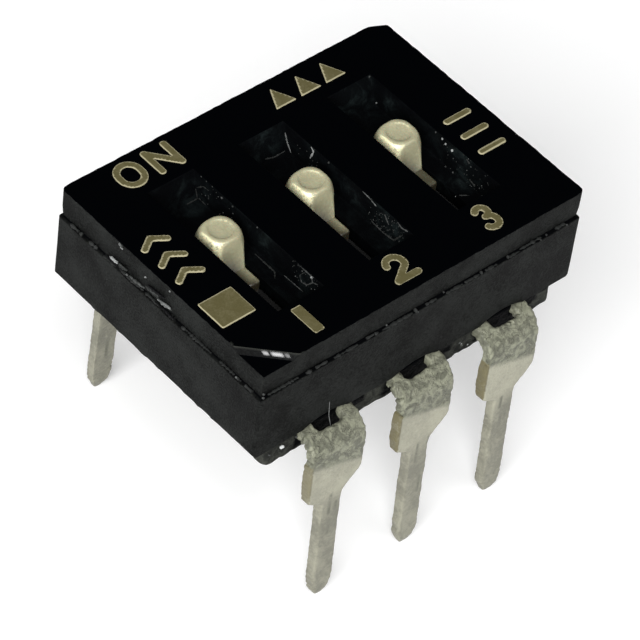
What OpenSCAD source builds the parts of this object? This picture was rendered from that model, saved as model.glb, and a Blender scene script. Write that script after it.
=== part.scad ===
// Three-position slide DIP switch with flush knobs, through-hole terminals and a printed cover.
// +X runs along the positions 1 to 3, +Y points to the ON side, +Z is up.
// The origin is midway between the two pin rows, level with the pin tips.

/* [Body] */
// Distance from one switch position to the next
pitch = 2.54; // [2.52:0.01:2.56]
// Length of the cover's top face along the positions
body_l = 9.14; // [9.10:0.02:9.30]
// Width of the cover's top face across the pin rows
body_w = 6.60; // [6.54:0.02:6.64]
// How far the base stands out beyond the cover's top face
base_out = 0.02; // [0:0.01:0.04]
// How far the cover's sides lean in from the top face to the parting line
cover_lean = 0.06; // [0.02:0.01:0.08]
// Height of the cover above the parting line
cover_h = 0.76; // [0.74:0.01:0.82]
// Height of the base from the terminals to the parting line
base_h = 1.84; // [1.80:0.01:1.90]
// Height of the narrower foot of the base, around the terminals
foot_h = 0.55; // [0.45:0.01:0.60]
// Width and depth of the groove that shows as the parting line
groove = 0.06; // [0.04:0.01:0.08]

/* [Pockets and pin 1 corner] */
// Width of each finger pocket
pocket_w = 1.27; // [1.26:0.01:1.32]
// Length of each pocket at the top face
pocket_l = 4.24; // [4.20:0.02:4.32]
// Depth of the pockets
pocket_d = 0.70; // [0.66:0.01:0.72]
// How far each pocket's end wall leans in from top to floor
pocket_lean = 0.27; // [0.22:0.01:0.28]
// Leg of the lowered corner that marks pin 1
corner_leg = 1.00; // [0.80:0.05:1.05]
// Depth of the lowered corner
corner_d = 0.10; // [0.08:0.01:0.16]

/* [Sliders] */
// How far each slider moves from ON to OFF
travel = 0.90; // [0.80:0.02:0.90]
// Radius of the knob at its foot
knob_r = 0.59; // [0.55:0.01:0.60]
// Radius of the knob's flat top
knob_top_r = 0.35; // [0.30:0.01:0.40]
// Half the width of the tail that runs in the slot
tail_half_w = 0.16; // [0.14:0.01:0.17]
// Length of the tail, from the knob's axis to its tip
tail_l = 1.28; // [1.20:0.01:1.30]
// Running gap around everything that slides
gap = 0.04; // [0.03:0.01:0.05]

/* [Terminals] */
// Distance between the two rows of pins, at the pin tips
row_spacing = 7.62; // [7.60:0.01:7.64]
// Angle by which each row of pins leans outwards
splay = 0.8; // [0:0.1:1.2]
// Thickness of the terminal strip
lead_t = 0.25; // [0.22:0.01:0.26]
// Width of the narrow pin
pin_w = 0.57; // [0.50:0.01:0.60]
// Length of the narrow pin below its shoulder
pin_l = 3.20; // [3.00:0.05:3.40]
// Width of the wide part of the terminal
shoulder_w = 1.48; // [1.40:0.02:1.56]
// Height of the body's underside above the shoulders
standoff = 1.55; // [1.50:0.05:1.70]
// Outside radius of the bend
bend_r = 0.60; // [0.50:0.01:0.62]

/* [Printed marks] */
// Thickness of the printed ink
ink_t = 0.02; // [0.01:0.01:0.03]
// Width of the printed strokes
stroke_w = 0.17; // [0.15:0.01:0.19]
// Shift of the printed numbers towards the pin 1 end
number_shift = 0.28; // [0.20:0.01:0.30]

/* [Hidden] */
$fn = 48;

tiny = 0.01;
columns = [-pitch, 0, pitch];

// Levels, counted from the pin tips
z_seat = pin_l;
z_foot = z_seat + standoff;
z_lead = z_foot + foot_h;
z_part = z_lead + base_h;
z_top = z_part + cover_h;
z_floor = z_top - pocket_d;

// Base and its three cells
base_l = body_l + 2 * base_out;
base_w = body_w + 2 * base_out;
corner_r = 0.08;
end_chamfer = 0.10;
foot_l = 8.30;
foot_w = 6.50;
foot_r = 0.12;
cell_half_w = 0.95;
cell_half_l = 2.85;
ledge_d = 0.26;
groove_in = 0.10;
ledge_half_l = 4.05;
z_plug = z_part - ledge_d;
plug_gap = 0.02;
notch_w = 1.30;
notch_h = 0.16;
notch_d = 0.16;

// Cover outline
corner_cut = 0.08;
back_cut_x = 0.40;
back_cut_y = 0.20;
corner_slope = 0.13;
slot_half_w = tail_half_w + gap;
slot_back = 0.60;
slot_front = tail_l + gap;

// Slider
knob_y = travel / 2;
slider_half_w = cell_half_w - gap;
slider_half_l = cell_half_l - knob_y - gap;
plate_t = 0.42;
z_plate = z_plug - gap;
skirt_t = 0.26;
skirt_gap = 0.06;
knob_sink = 0.07;
tail_proud = 0.02;
tail_back = 0.50;
dish_r = 1.2;
dish_d = 0.04;
peg_r = 0.15;
peg_l = 0.18;

// Bridging contact
contact_w = 0.70;
contact_t = 0.10;
contact_half_l = 0.70;
touch_y = 1.00;
touch_r = 0.10;
touch_gap = 0.02;
peg_gap = 0.02;

// Terminals
pad_half_w = 0.42;
front_pad_y = 0.35;
back_pad_y = 0.95;
neck_y = 2.95;
relief_half_w = 0.37;
relief_out = 0.22;
relief_in = 0.40;
relief_r = 0.26;
stub_w = 0.06;
stub_drop = 0.25;
stub_low = 0.62;
stub_high = 1.38;
slope_low = 0.16;
slope_high = 0.54;
corner_break = 0.06;
neck_shift = 0.06;
pin_taper_h = 0.62;
pin_tip_r = 0.13;
coin_h = 0.22;
coin_d = 0.08;

// Printed marks
letter_h = 0.80;
letter_w = 0.72;
letter_y = 2.75;
number_y = -2.65;
on_x = -2.67;
letter_step = 0.90;
square_l = 0.91;
square_w = 0.83;
square_x = -3.965;
square_y = -1.41;
arrows_x = 1.76;
arrow_step = 0.72;
arrow_half = 0.29;
one_w = 0.26;
two_hook_share = 0.75;
two_hook_end = -35;
three_low_share = 0.54;
three_end = 150;
three_join = 40;
left_marks_x = -3.99;
left_marks_y = 0.39;
right_marks_x = 3.85;
right_marks_y = -0.55;
mark_step = 0.56;
mark_l = 0.78;
chevron_rise = 0.20;

// Shared shapes ---------------------------------------------------------

// A block centred on x and y, from z0 up to z1
module block(l, w, z0, z1) {
    translate([-l / 2, -w / 2, z0]) cube([l, w, z1 - z0]);
}

// A flat shape standing on the y-z plane, drawn as [y, z] and centred on x
module across_x(width) {
    rotate([90, 0, 90]) translate([0, 0, -width / 2]) linear_extrude(width) children();
}

// A round-ended line from p to q, of width w
module line2d(p, q, w) {
    run = q - p;
    for (end = [p, q]) translate(end) circle(d = w);
    translate(p) rotate(atan2(run[1], run[0])) translate([0, -w / 2]) square([norm(run), w]);
}

// Part of a ring about the origin from angle a0 to a1, less than 180 degrees, with round ends
module arc2d(r, a0, a1, w) {
    far = 4 * r;
    mid = (a0 + a1) / 2;
    intersection() {
        difference() {
            circle(r + w / 2);
            circle(r - w / 2);
        }
        polygon([[0, 0], far * [cos(a0), sin(a0)], far * [cos(mid), sin(mid)], far * [cos(a1), sin(a1)]]);
    }
    for (a = [a0, a1]) translate(r * [cos(a), sin(a)]) circle(d = w);
}

// A rectangle with a round on every corner
module rounded_rect(l, w, r) {
    square([l - 2 * r, w], center = true);
    square([l, w - 2 * r], center = true);
    for (x = [-1, 1], y = [-1, 1]) translate([x * (l / 2 - r), y * (w / 2 - r)]) circle(r);
}

// Base --------------------------------------------------------------------

// The outside of the base above its foot, with the lower edge of both ends cut off at 45 degrees
module base_shell() {
    x = base_l / 2;
    z_neck = z_part - groove;
    intersection() {
        translate([0, 0, z_lead]) linear_extrude(base_h - groove) rounded_rect(base_l, base_w, corner_r);
        rotate([90, 0, 0]) translate([0, 0, -base_w]) linear_extrude(2 * base_w)
            polygon([[-x + end_chamfer, z_lead], [x - end_chamfer, z_lead], [x, z_lead + end_chamfer],
                [x, z_part], [-x, z_part], [-x, z_lead + end_chamfer]]);
    }
    translate([0, 0, z_neck - tiny]) linear_extrude(groove + tiny)
        rounded_rect(base_l - 2 * groove_in, base_w - 2 * groove_in, corner_r);
}

// The dark arched gap over a terminal, drawn as [x, z] on the front face
module notch_outline() {
    r = (notch_w * notch_w / 4 + notch_h * notch_h) / (2 * notch_h);
    intersection() {
        translate([0, z_lead + notch_h - r]) circle(r);
        translate([-notch_w / 2, z_lead - tiny]) square([notch_w, notch_h + 2 * tiny]);
    }
}

// The moulded base: an open tub with a cell for each position and a foot around the terminals
module base() {
    color([0.12, 0.12, 0.13])
    difference() {
        union() {
            base_shell();
            translate([0, 0, z_foot]) linear_extrude(foot_h + tiny) rounded_rect(foot_l, foot_w, foot_r);
        }
        block(2 * ledge_half_l, 2 * cell_half_l, z_plug, z_part + tiny);
        for (x = columns) translate([x, 0, 0]) {
            block(2 * cell_half_w, 2 * cell_half_l, z_lead, z_part);
            for (turn = [0, 180]) rotate([0, 0, turn]) {
                translate([0, notch_d - base_w / 2, 0]) rotate([90, 0, 0])
                    linear_extrude(2 * notch_d) notch_outline();
                terminal_solid(turn == 0 ? front_pad_y : back_pad_y);
            }
        }
    }
}

// Cover ---------------------------------------------------------------------

// Outline with small cuts on the corners, a bigger one at the back right, none at pin 1
module cover_outline() {
    x = body_l / 2;
    y = body_w / 2;
    c = corner_cut;
    polygon([[-x, -y], [x - c, -y], [x, -y + c], [x, y - back_cut_y], [x - back_cut_x, y],
        [-x + c, y], [-x, y - c]]);
}

// One pair of the cover's sides, leaning in below the top face, then set back at the parting line
module side_profile(width) {
    x = width / 2;
    low = x - cover_lean;
    polygon([[-low, z_part], [low, z_part], [x, z_top], [-x, z_top]]);
}

// The cover's outside, above the parting line
module cover_shell() {
    intersection() {
        translate([0, 0, z_part]) linear_extrude(cover_h) cover_outline();
        rotate([90, 0, 0]) translate([0, 0, -body_l / 2]) linear_extrude(body_l) side_profile(body_l);
        across_x(2 * body_l) side_profile(body_w);
    }
}

// The space above the pocket's floor, with both end walls leaning in
module pocket() {
    top = pocket_l / 2;
    low = top - pocket_lean;
    rise = pocket_lean / pocket_d * tiny;
    across_x(pocket_w) polygon([[-low, z_floor], [low, z_floor], [top + rise, z_top + tiny],
        [-top - rise, z_top + tiny]]);
}

// The slot through the pocket's floor for the slider's tail
module tail_slot() {
    slot_h = z_floor - z_plug + 2 * tiny;
    translate([0, knob_y, z_plug - tiny]) linear_extrude(slot_h) union() {
        translate([-slot_half_w, -travel - slot_front + slot_half_w])
            square([2 * slot_half_w, travel + slot_front - slot_half_w + slot_back]);
        translate([0, -travel - slot_front + slot_half_w]) circle(slot_half_w);
    }
}

// The space over the lowered corner: a level floor and one sloped side, square to the diagonal
module lowered_corner() {
    edge = corner_leg / sqrt(2);
    rise = corner_slope / corner_d * tiny;
    translate([-body_l / 2, -body_w / 2, 0]) rotate([90, 0, 45])
        translate([0, 0, -corner_leg]) linear_extrude(2 * corner_leg)
            polygon([[-corner_leg, z_top - corner_d], [edge - corner_slope, z_top - corner_d],
                [edge + rise, z_top + tiny], [-corner_leg, z_top + tiny]]);
}

// The moulded cover: outer face, pockets, slots, lowered pin 1 corner and a plug that fits the base
module cover() {
    color([0.06, 0.06, 0.07])
    difference() {
        union() {
            cover_shell();
            block(2 * (ledge_half_l - plug_gap), 2 * (cell_half_l - plug_gap), z_plug, z_part + tiny);
        }
        for (column = columns) translate([column, 0, 0]) {
            pocket();
            tail_slot();
        }
        lowered_corner();
    }
}

// Sliders --------------------------------------------------------------------

// Plate and side skirts that run in the base's cell, under the cover
module slider_carriage() {
    block(2 * slider_half_w, 2 * slider_half_l, z_plate - plate_t, z_plate);
    for (side = [-1, 1])
        translate([side * (slider_half_w - skirt_t / 2), 0, 0])
            block(skirt_t, 2 * slider_half_l, z_lead + skirt_gap, z_plate - plate_t + tiny);
    translate([0, 0, z_plate - plate_t - peg_l]) cylinder(r = peg_r, h = peg_l + tiny);
}

// The tail that fills the slot in front of the knob, with a round tip
module slider_tail() {
    top = z_floor + tail_proud;
    translate([0, 0, z_plate - tiny]) linear_extrude(top - z_plate + tiny) {
        translate([-tail_half_w, -tail_l + tail_half_w])
            square([2 * tail_half_w, tail_l - tail_half_w + tail_back]);
        translate([0, -tail_l + tail_half_w]) circle(tail_half_w);
    }
}

// The conical knob, flush with the cover, with a shallow dish in its top
module slider_knob() {
    foot = z_floor + gap;
    top = z_top - knob_sink;
    difference() {
        translate([0, 0, foot]) cylinder(r1 = knob_r, r2 = knob_top_r, h = top - foot);
        translate([0, 0, top + dish_r - dish_d]) sphere(dish_r);
    }
    translate([-tail_half_w, -tail_half_w, z_floor]) cube([2 * tail_half_w, 2 * tail_half_w, gap + tiny]);
}

module slider(i) {
    color([0.93, 0.91, 0.80])
    translate([columns[i], knob_y, 0]) {
        slider_carriage();
        slider_tail();
        slider_knob();
    }
}

// The sprung metal bridge under each slider, which joins the two terminals when the switch is ON
module bridge_contact(i) {
    top = z_plate - plate_t;
    z_mid = top - contact_t / 2;
    z_touch = z_lead + touch_gap + touch_r;
    color([0.85, 0.68, 0.30])
    translate([columns[i], knob_y, 0]) difference() {
        across_x(contact_w) {
            translate([-contact_half_l, top - contact_t]) square([2 * contact_half_l, contact_t]);
            for (side = [-1, 1]) {
                line2d([side * contact_half_l, z_mid], [side * touch_y, z_touch], contact_t);
                translate([side * touch_y, z_touch]) circle(touch_r);
            }
        }
        translate([0, 0, top - 2 * contact_t]) cylinder(r = peg_r + peg_gap, h = 3 * contact_t);
    }
}

// Terminals ------------------------------------------------------------------

// The strip bent down, as [y, z] in the front row, leaning outwards so that the tips are on the row
module strip_profile(inner_y) {
    z_bend = z_lead - bend_r;
    half = lead_t / 2 / cos(splay);
    y_tip = -row_spacing / 2;
    y_bend = y_tip - half + z_bend * tan(splay) + bend_r / cos(splay);
    bend = [y_bend, z_bend];
    end = [-cos(splay), sin(splay)];
    far = 2 * bend_r;
    y_coin = y_tip + coin_h * tan(splay);
    translate([y_bend, z_lead - lead_t]) square([-inner_y - y_bend, lead_t]);
    translate(bend) intersection() {
        difference() {
            circle(bend_r);
            circle(bend_r - lead_t);
        }
        polygon([[0, 0], far * end, [-far, far], [0, far]]);
    }
    polygon([bend + bend_r * end, [y_coin - half, coin_h], [y_tip - half + coin_d, 0],
        [y_tip + half - coin_d, 0], [y_coin + half, coin_h], bend + (bend_r - lead_t) * end]);
}

// Outline seen from the front: pointed pin, shoulders, the sheared stub on one edge and the wide top
module front_outline() {
    p = pin_w / 2;
    s = shoulder_w / 2;
    n = neck_shift;
    polygon([[-pin_tip_r, pin_tip_r], [pin_tip_r, pin_tip_r], [p, pin_taper_h], [p - n, z_seat],
        [p - n / 2, z_seat + slope_low], [s - corner_break, z_seat + slope_high],
        [s, z_seat + slope_high + 2 * corner_break], [s, z_lead + tiny], [-s, z_lead + tiny],
        [-s, z_seat + stub_high], [-s - stub_w, z_seat + stub_high], [-s - stub_w, z_seat + stub_low],
        [-s, z_seat + stub_drop], [-p - n, z_seat], [-p, pin_taper_h]]);
    translate([0, pin_tip_r]) circle(pin_tip_r);
}

// Outline seen from above: the wide part at the body's edge and the narrow contact pad inside
module top_outline(inner_y) {
    s = shoulder_w / 2;
    polygon([[-s, -row_spacing], [s, -row_spacing], [s, -neck_y], [pad_half_w, -neck_y],
        [pad_half_w, -inner_y], [-pad_half_w, -inner_y], [-pad_half_w, -neck_y], [-s, -neck_y]]);
}

// The round-cornered relief hole that makes the two prongs at the bend
module bend_relief() {
    edge = -base_w / 2;
    low = edge - relief_out;
    translate([0, 0, z_lead - bend_r]) linear_extrude(bend_r + tiny) {
        translate([-relief_half_w, low + relief_r])
            square([2 * relief_half_w, relief_out - relief_r + relief_in]);
        translate([-relief_half_w + relief_r, low])
            square([2 * (relief_half_w - relief_r), relief_out]);
        for (side = [-1, 1])
            translate([side * (relief_half_w - relief_r), low + relief_r]) circle(relief_r);
    }
}

// A whole terminal in the front row, its contact pad ending inner_y from the middle
module terminal_solid(inner_y) {
    full_w = shoulder_w + 2 * stub_w + 2 * tiny;
    y_face = -base_w / 2 - tiny;
    difference() {
        intersection() {
            across_x(full_w) strip_profile(inner_y);
            union() {
                translate([0, y_face, 0]) rotate([90, 0, 0]) linear_extrude(row_spacing) front_outline();
                translate([0, 0, z_lead - lead_t]) linear_extrude(lead_t)
                    intersection() {
                        top_outline(inner_y);
                        translate([-full_w, y_face - tiny]) square([2 * full_w, row_spacing]);
                    }
            }
        }
        bend_relief();
    }
}

// Pins 1 to 3 stand in the front row from left to right, 4 to 6 in the back row from right to left
module terminal(number) {
    front = number <= 3;
    column = front ? number - 1 : 6 - number;
    color([0.76, 0.75, 0.68])
    translate([columns[column], 0, 0]) rotate([0, 0, front ? 0 : 180])
        terminal_solid(front ? front_pad_y : back_pad_y);
}

// Printed marks ---------------------------------------------------------------

// Ink on the cover's top face, with its flat shape centred at x, y
module ink(x, y) {
    color([0.62, 0.59, 0.44]) translate([x, y, z_top]) linear_extrude(ink_t) children();
}

module letter_o() {
    r = letter_w / 2;
    half = letter_h / 2 - r;
    difference() {
        union() {
            for (side = [-1, 1]) translate([0, side * half]) circle(r);
            square([2 * r, 2 * half], center = true);
        }
        for (side = [-1, 1]) translate([0, side * half]) circle(r - stroke_w);
        square([2 * (r - stroke_w), 2 * half], center = true);
    }
}

module letter_n() {
    x = (letter_w - stroke_w) / 2;
    y = (letter_h - stroke_w) / 2;
    for (side = [-1, 1]) line2d([side * x, -y], [side * x, y], stroke_w);
    line2d([-x, y], [x, -y], stroke_w);
}

module number_one() {
    square([one_w, letter_h], center = true);
}

module number_two() {
    y = (letter_h - stroke_w) / 2;
    x = (letter_w - stroke_w) / 2;
    r = two_hook_share * x;
    last = two_hook_end;
    translate([0, y - r]) {
        arc2d(r, last + 95, last + 205, stroke_w);
        arc2d(r, last, last + 95, stroke_w);
    }
    line2d([r * cos(last), y - r + r * sin(last)], [-x, -y], stroke_w);
    line2d([-x, -y], [x, -y], stroke_w);
}

module number_three() {
    y = (letter_h - stroke_w) / 2;
    r_low = three_low_share * y;
    r_high = y - r_low;
    translate([0, y - r_high]) {
        arc2d(r_high, -90, three_join, stroke_w);
        arc2d(r_high, three_join, three_end, stroke_w);
    }
    translate([0, r_low - y]) {
        arc2d(r_low, -three_join, 90, stroke_w);
        arc2d(r_low, -three_end, -three_join, stroke_w);
    }
}

// ON, printed along the edge that the sliders move towards
module on_legend() {
    ink(on_x - letter_step / 2, letter_y) letter_o();
    ink(on_x + letter_step / 2, letter_y) letter_n();
}

// 1, 2 and 3 along the front edge
module position_numbers() {
    ink(columns[0] - number_shift, number_y) number_one();
    ink(columns[1] - number_shift, number_y) number_two();
    ink(columns[2] - number_shift, number_y) number_three();
}

// The filled square next to pin 1
module pin_one_square() {
    ink(square_x, square_y) square([square_l, square_w], center = true);
}

// Three arrowheads that point to the ON side
module direction_arrows() {
    a = arrow_half;
    for (k = [-1, 0, 1])
        ink(arrows_x + k * arrow_step, letter_y) polygon([[-a, -a], [a, -a], [0, a]]);
}

// One of the bent strokes near the left edge
module chevron() {
    x = (mark_l - stroke_w) / 2;
    y = chevron_rise / 2;
    line2d([-x, -y], [0, y], stroke_w);
    line2d([0, y], [x, -y], stroke_w);
}

// Three bent strokes along the left edge
module left_end_marks() {
    for (k = [-1, 0, 1]) ink(left_marks_x, left_marks_y + k * mark_step) chevron();
}

// Three straight strokes along the right edge
module right_end_marks() {
    x = (mark_l - stroke_w) / 2;
    for (k = [-1, 0, 1])
        ink(right_marks_x, right_marks_y + k * mark_step) line2d([-x, 0], [x, 0], stroke_w);
}

base();
cover();
slider(0);  // slider_1
slider(1);  // slider_2
slider(2);  // slider_3
bridge_contact(0);  // bridge_contact_1
bridge_contact(1);  // bridge_contact_2
bridge_contact(2);  // bridge_contact_3
terminal(1);  // terminal_1
terminal(2);  // terminal_2
terminal(3);  // terminal_3
terminal(4);  // terminal_4
terminal(5);  // terminal_5
terminal(6);  // terminal_6
on_legend();
position_numbers();
pin_one_square();
direction_arrows();
left_end_marks();
right_end_marks();
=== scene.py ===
"""Dresses a three-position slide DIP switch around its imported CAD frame.

Each piece is built from the frame's own boxes and solids: the moulded housing, the sliders, the stamped
terminals, the bridge contacts, the printed marks, the dust in the pockets and the flash along the parting
line.
"""

import math
import random

import bmesh
import bpy
from bpy.props import FloatProperty, FloatVectorProperty, IntProperty, PointerProperty
from mathutils import Matrix, Vector, noise


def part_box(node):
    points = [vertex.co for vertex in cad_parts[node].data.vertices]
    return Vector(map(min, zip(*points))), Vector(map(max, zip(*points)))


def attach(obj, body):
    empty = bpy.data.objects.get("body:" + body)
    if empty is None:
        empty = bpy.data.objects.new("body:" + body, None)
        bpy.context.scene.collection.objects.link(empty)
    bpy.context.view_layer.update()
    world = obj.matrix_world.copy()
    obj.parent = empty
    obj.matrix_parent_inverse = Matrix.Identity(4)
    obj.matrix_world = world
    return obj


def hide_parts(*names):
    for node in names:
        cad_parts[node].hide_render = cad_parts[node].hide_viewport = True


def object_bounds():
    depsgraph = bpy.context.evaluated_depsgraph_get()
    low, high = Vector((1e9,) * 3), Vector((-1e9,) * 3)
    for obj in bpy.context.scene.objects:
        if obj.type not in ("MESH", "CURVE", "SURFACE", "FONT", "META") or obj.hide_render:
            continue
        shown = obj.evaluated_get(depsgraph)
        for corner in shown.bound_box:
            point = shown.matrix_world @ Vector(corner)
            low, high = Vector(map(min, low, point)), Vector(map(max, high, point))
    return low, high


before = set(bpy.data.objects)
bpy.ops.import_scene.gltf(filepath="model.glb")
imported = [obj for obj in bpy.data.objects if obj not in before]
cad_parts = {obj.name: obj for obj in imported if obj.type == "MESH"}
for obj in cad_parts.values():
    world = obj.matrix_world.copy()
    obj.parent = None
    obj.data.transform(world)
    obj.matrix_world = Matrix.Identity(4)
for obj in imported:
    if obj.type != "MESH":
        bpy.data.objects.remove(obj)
CAD_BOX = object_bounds()

bl_info = {
    "name": "Slide DIP switch",
    "version": (1, 0, 0),
    "blender": (4, 5, 0),
    "location": "3D View > Sidebar > DIP switch",
    "description": "Builds the visible pieces and materials of a slide DIP switch",
    "category": "Object",
}

MM = 0.001
HOUSING = "housing"
POSITIONS = (1, 2, 3)
PINS = (1, 2, 3, 4, 5, 6)
INK_NODES = ("on_legend", "position_numbers", "pin_one_square", "direction_arrows",
             "left_end_marks", "right_end_marks")

COVER_LOW, COVER_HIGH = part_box("cover")
BASE_LOW, BASE_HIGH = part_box("base")
LEAD_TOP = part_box("terminal_1")[1].z
Z_TOP = COVER_HIGH.z
Z_PART = BASE_HIGH.z
COLUMNS = [sum((corner.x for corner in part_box(f"slider_{n}")), 0.0) / 2 for n in POSITIONS]

DOUBLES = 1e-4 * MM  # Points closer than this are one point
SLIVER = 0.002 * MM  # Less than any real step in a surface
GRID_SHIFT = 0.137  # Keeps cutting planes off the parts' own faces, as a share of their step
OUTLINE_STEP = 0.035 * MM  # Distance between the points of a sheared outline

PLATE_TOP = 6.84 * MM  # Top of the sliders' hidden plates
KNOB_AXIS_Y = 0.45 * MM
KNOB_LEAN, KNOB_LEAN_REACH = 0.05, 1.2 * MM  # Lean in millimetres, and the depth at which it is full
# The slider whose tail is painted dark all over, for its grime and the shade in its pocket
DARK_TAIL_SLIDER = 3
LIT_FLANK_WAY = Vector((-0.75, -0.40, 0.53)).normalized()  # The way to the key lamp: knob flanks that face it get a painted highlight

# Rings of a knob's flank: share of its height, then side, side end, nose, nose end and radius in millimetres.
KNOB_FLANK = (
    (0.0, 0.36, 0.0, 0.12, 0.68, 0.05), (0.05, 0.36, 0.02, 0.14, 0.635, 0.055),
    (0.12, 0.345, 0.05, 0.165, 0.57, 0.07), (0.25, 0.325, 0.11, 0.205, 0.47, 0.09),
    (0.39, 0.30, 0.17, 0.23, 0.37, 0.12), (0.53, 0.25, 0.20, 0.23, 0.28, 0.17),
    (0.65, 0.21, 0.21, 0.21, 0.22, 0.21), (0.75, 0.185, 0.185, 0.185, 0.185, 0.23),
    (0.84, 0.16, 0.16, 0.16, 0.16, 0.245), (0.89, 0.135, 0.135, 0.135, 0.135, 0.265),
    (0.937, 0.105, 0.105, 0.105, 0.105, 0.285), (0.97, 0.07, 0.07, 0.07, 0.07, 0.312),
    (0.988, 0.04, 0.04, 0.04, 0.04, 0.333), (1.0, 0.0, 0.0, 0.0, 0.0, 0.345),
)

# Rings of a knob's dish: share of its radius and share of its depth.
KNOB_DISH = ((1.04, 0.0), (1.0, 0.12), (0.93, 0.42), (0.84, 0.62), (0.6, 0.85), (0.3, 0.97))

# Gleams on the riser of the lowered corner: middle and reach along it in millimetres, and strength.
RISER_GLEAMS = ((0.45, 0.05, 0.8), (0.62, 0.10, 1.0), (0.77, 0.04, 0.4))

NECK_Y, HOLE_Y = 2.90 * MM, 3.08 * MM  # Distance of a terminal's neck and its hole from the middle
HOLE_TURN = math.radians(24.7)  # How far the hole reaches down into the bend

# A hair at terminal 1, in millimetres.
HAIR_PATH = ((-2.56, -3.50, 5.20), (-2.60, -3.44, 5.50), (-2.55, -3.36, 5.82))


# Settings ---------------------------------------------------------------------


def length(name, description, millimetres):
    """A length property, given in millimetres and kept in metres."""
    return FloatProperty(name=name, description=description, default=millimetres * MM, unit="LENGTH",
                         subtype="DISTANCE", precision=5)


def angle(name, description, degrees):
    """An angle property, given in degrees and kept in radians."""
    return FloatProperty(name=name, description=description, default=math.radians(degrees), unit="ROTATION",
                         subtype="ANGLE")


def number(name, description, default):
    """A plain number above zero."""
    return FloatProperty(name=name, description=description, default=default, min=0.0)


def colour(name, description, red, green, blue):
    """A linear colour property without alpha."""
    return FloatVectorProperty(name=name, description=description, default=(red, green, blue), size=3,
                               subtype="COLOR", min=0.0, max=1.0)


class HousingSettings(bpy.types.PropertyGroup):
    """Sizes and colours of the moulded cover and base"""

    edge_round: length("Edge round", "Width of the round on every moulded edge", 0.022)
    mesh_step: length("Mesh step", "Longest edge of the housing's mesh", 0.11)
    foot_rough: length("Foot roughness", "How far the rough foot of the base strays from flat", 0.03)
    pocket_width: length("Pocket width", "Width of each finger pocket", 1.27)
    pocket_length: length("Pocket length", "Length of each finger pocket at the top face", 4.24)
    pocket_depth: length("Pocket depth", "Depth of each finger pocket", 0.70)
    pocket_lean: length("Pocket lean", "How far each end of a pocket leans out over its depth", 0.27)
    top_colour: colour("Top colour", "Glossy top face of the cover", 0.0005, 0.0007, 0.0011)
    side_colour: colour("Side colour", "Matt sides of the moulding", 0.0070, 0.0076, 0.0072)
    foot_colour: colour("Foot colour", "Rough grey foot around the terminals", 0.040, 0.042, 0.036)
    dust_colour: colour("Dust colour", "Dust film in the pockets", 0.030, 0.044, 0.044)
    fleck_colour: colour("Fleck colour", "Bright flecks and fibres", 0.55, 0.57, 0.56)


class SliderSettings(bpy.types.PropertyGroup):
    """Sizes and colours of the sliders"""

    dish_radius: length("Dish radius", "Radius of the shallow dish in the top", 0.29)
    dish_depth: length("Dish depth", "Depth of the shallow dish in the top", 0.035)
    foot_drop: length("Foot drop", "Depth of the knob's foot below the cover's top", 0.693)
    tail_drop: length("Tail drop", "Depth of the tail's top below the cover's top", 0.705)
    tail_half_width: length("Tail half width", "Half the width of the tail in the slot", 0.16)
    tail_back: length("Tail back", "Length of the tail behind the knob's axis", 0.50)
    tail_front: length("Tail front", "Length of the tail in front of the knob's axis", 1.22)
    plastic_colour: colour("Plastic colour", "Cream plastic", 0.44, 0.42, 0.27)
    # Brown grime along the tail and the painted shade there, and, much darker, painted shade on the hidden
    # plate
    dirt_and_shade_colour: colour("Grime colour", "Brown grime along the tail", 0.052, 0.044, 0.026)
    segments: IntProperty(name="Segments", description="Sides of the turned knob", default=96, min=24)


class TerminalSettings(bpy.types.PropertyGroup):
    """Sizes and colours of the stamped terminals"""

    strip: length("Strip thickness", "Thickness of the stamped strip", 0.25)
    roll: length("Edge roll", "Round that the punch leaves on the outer face", 0.055)
    burr: length("Burr round", "Small round on the inner face", 0.018)
    bend_radius: length("Bend radius", "Outside radius of the bend", 0.60)
    splay: angle("Splay", "Angle by which each row leans outwards", 0.8)
    tip_row: length("Row offset", "Distance of the pin tips from the middle plane", 3.81)
    pin_width: length("Pin width", "Width of the narrow pin", 0.57)
    pin_length: length("Pin length", "Length of the narrow pin below the shoulders", 3.20)
    taper: length("Tip taper", "Height at which the pin starts to narrow to its tip", 0.46)
    tip_radius: length("Tip radius", "Radius of the rounded tip", 0.17)
    coin_height: length("Coined height", "Height over which the tip is squeezed thinner", 0.22)
    coin_depth: length("Coined depth", "How far each face is squeezed in at the very tip", 0.08)
    shoulder: length("Shoulder width", "Width of the wide upper part", 1.48)
    stub: length("Stub", "How far the sheared stub stands out of one edge", 0.06)
    pad_half: length("Pad half width", "Half the width of the contact pad inside the base", 0.42)
    mesh_step: length("Mesh step", "Longest edge of a terminal's mesh", 0.045)
    tin_colour: colour("Tin colour", "Dull tin plate on the flat lower part", 0.315, 0.308, 0.238)
    dark_colour: colour("Dark tin colour", "Pitted tin around the bend", 0.118, 0.121, 0.088)
    bare_colour: colour("Bare metal colour", "Bare copper alloy on the sheared stub", 0.108, 0.095, 0.048)


class InkSettings(bpy.types.PropertyGroup):
    """Colours of the printed marks"""

    ragged: length("Raggedness", "How far the print's outline strays", 0.007)
    mesh_step: length("Mesh step", "Longest edge of the print's mesh", 0.05)
    rim_round: length("Rim round", "Width of the rounded rim of the print", 0.018)
    corner_round: length("Corner round", "Round on the corners of each mark", 0.035)
    ink_colour: colour("Ink colour", "Khaki ink", 0.098, 0.086, 0.036)
    pale_colour: colour("Pale ink colour", "Ink where it lies thicker", 0.35, 0.32, 0.20)


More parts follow.
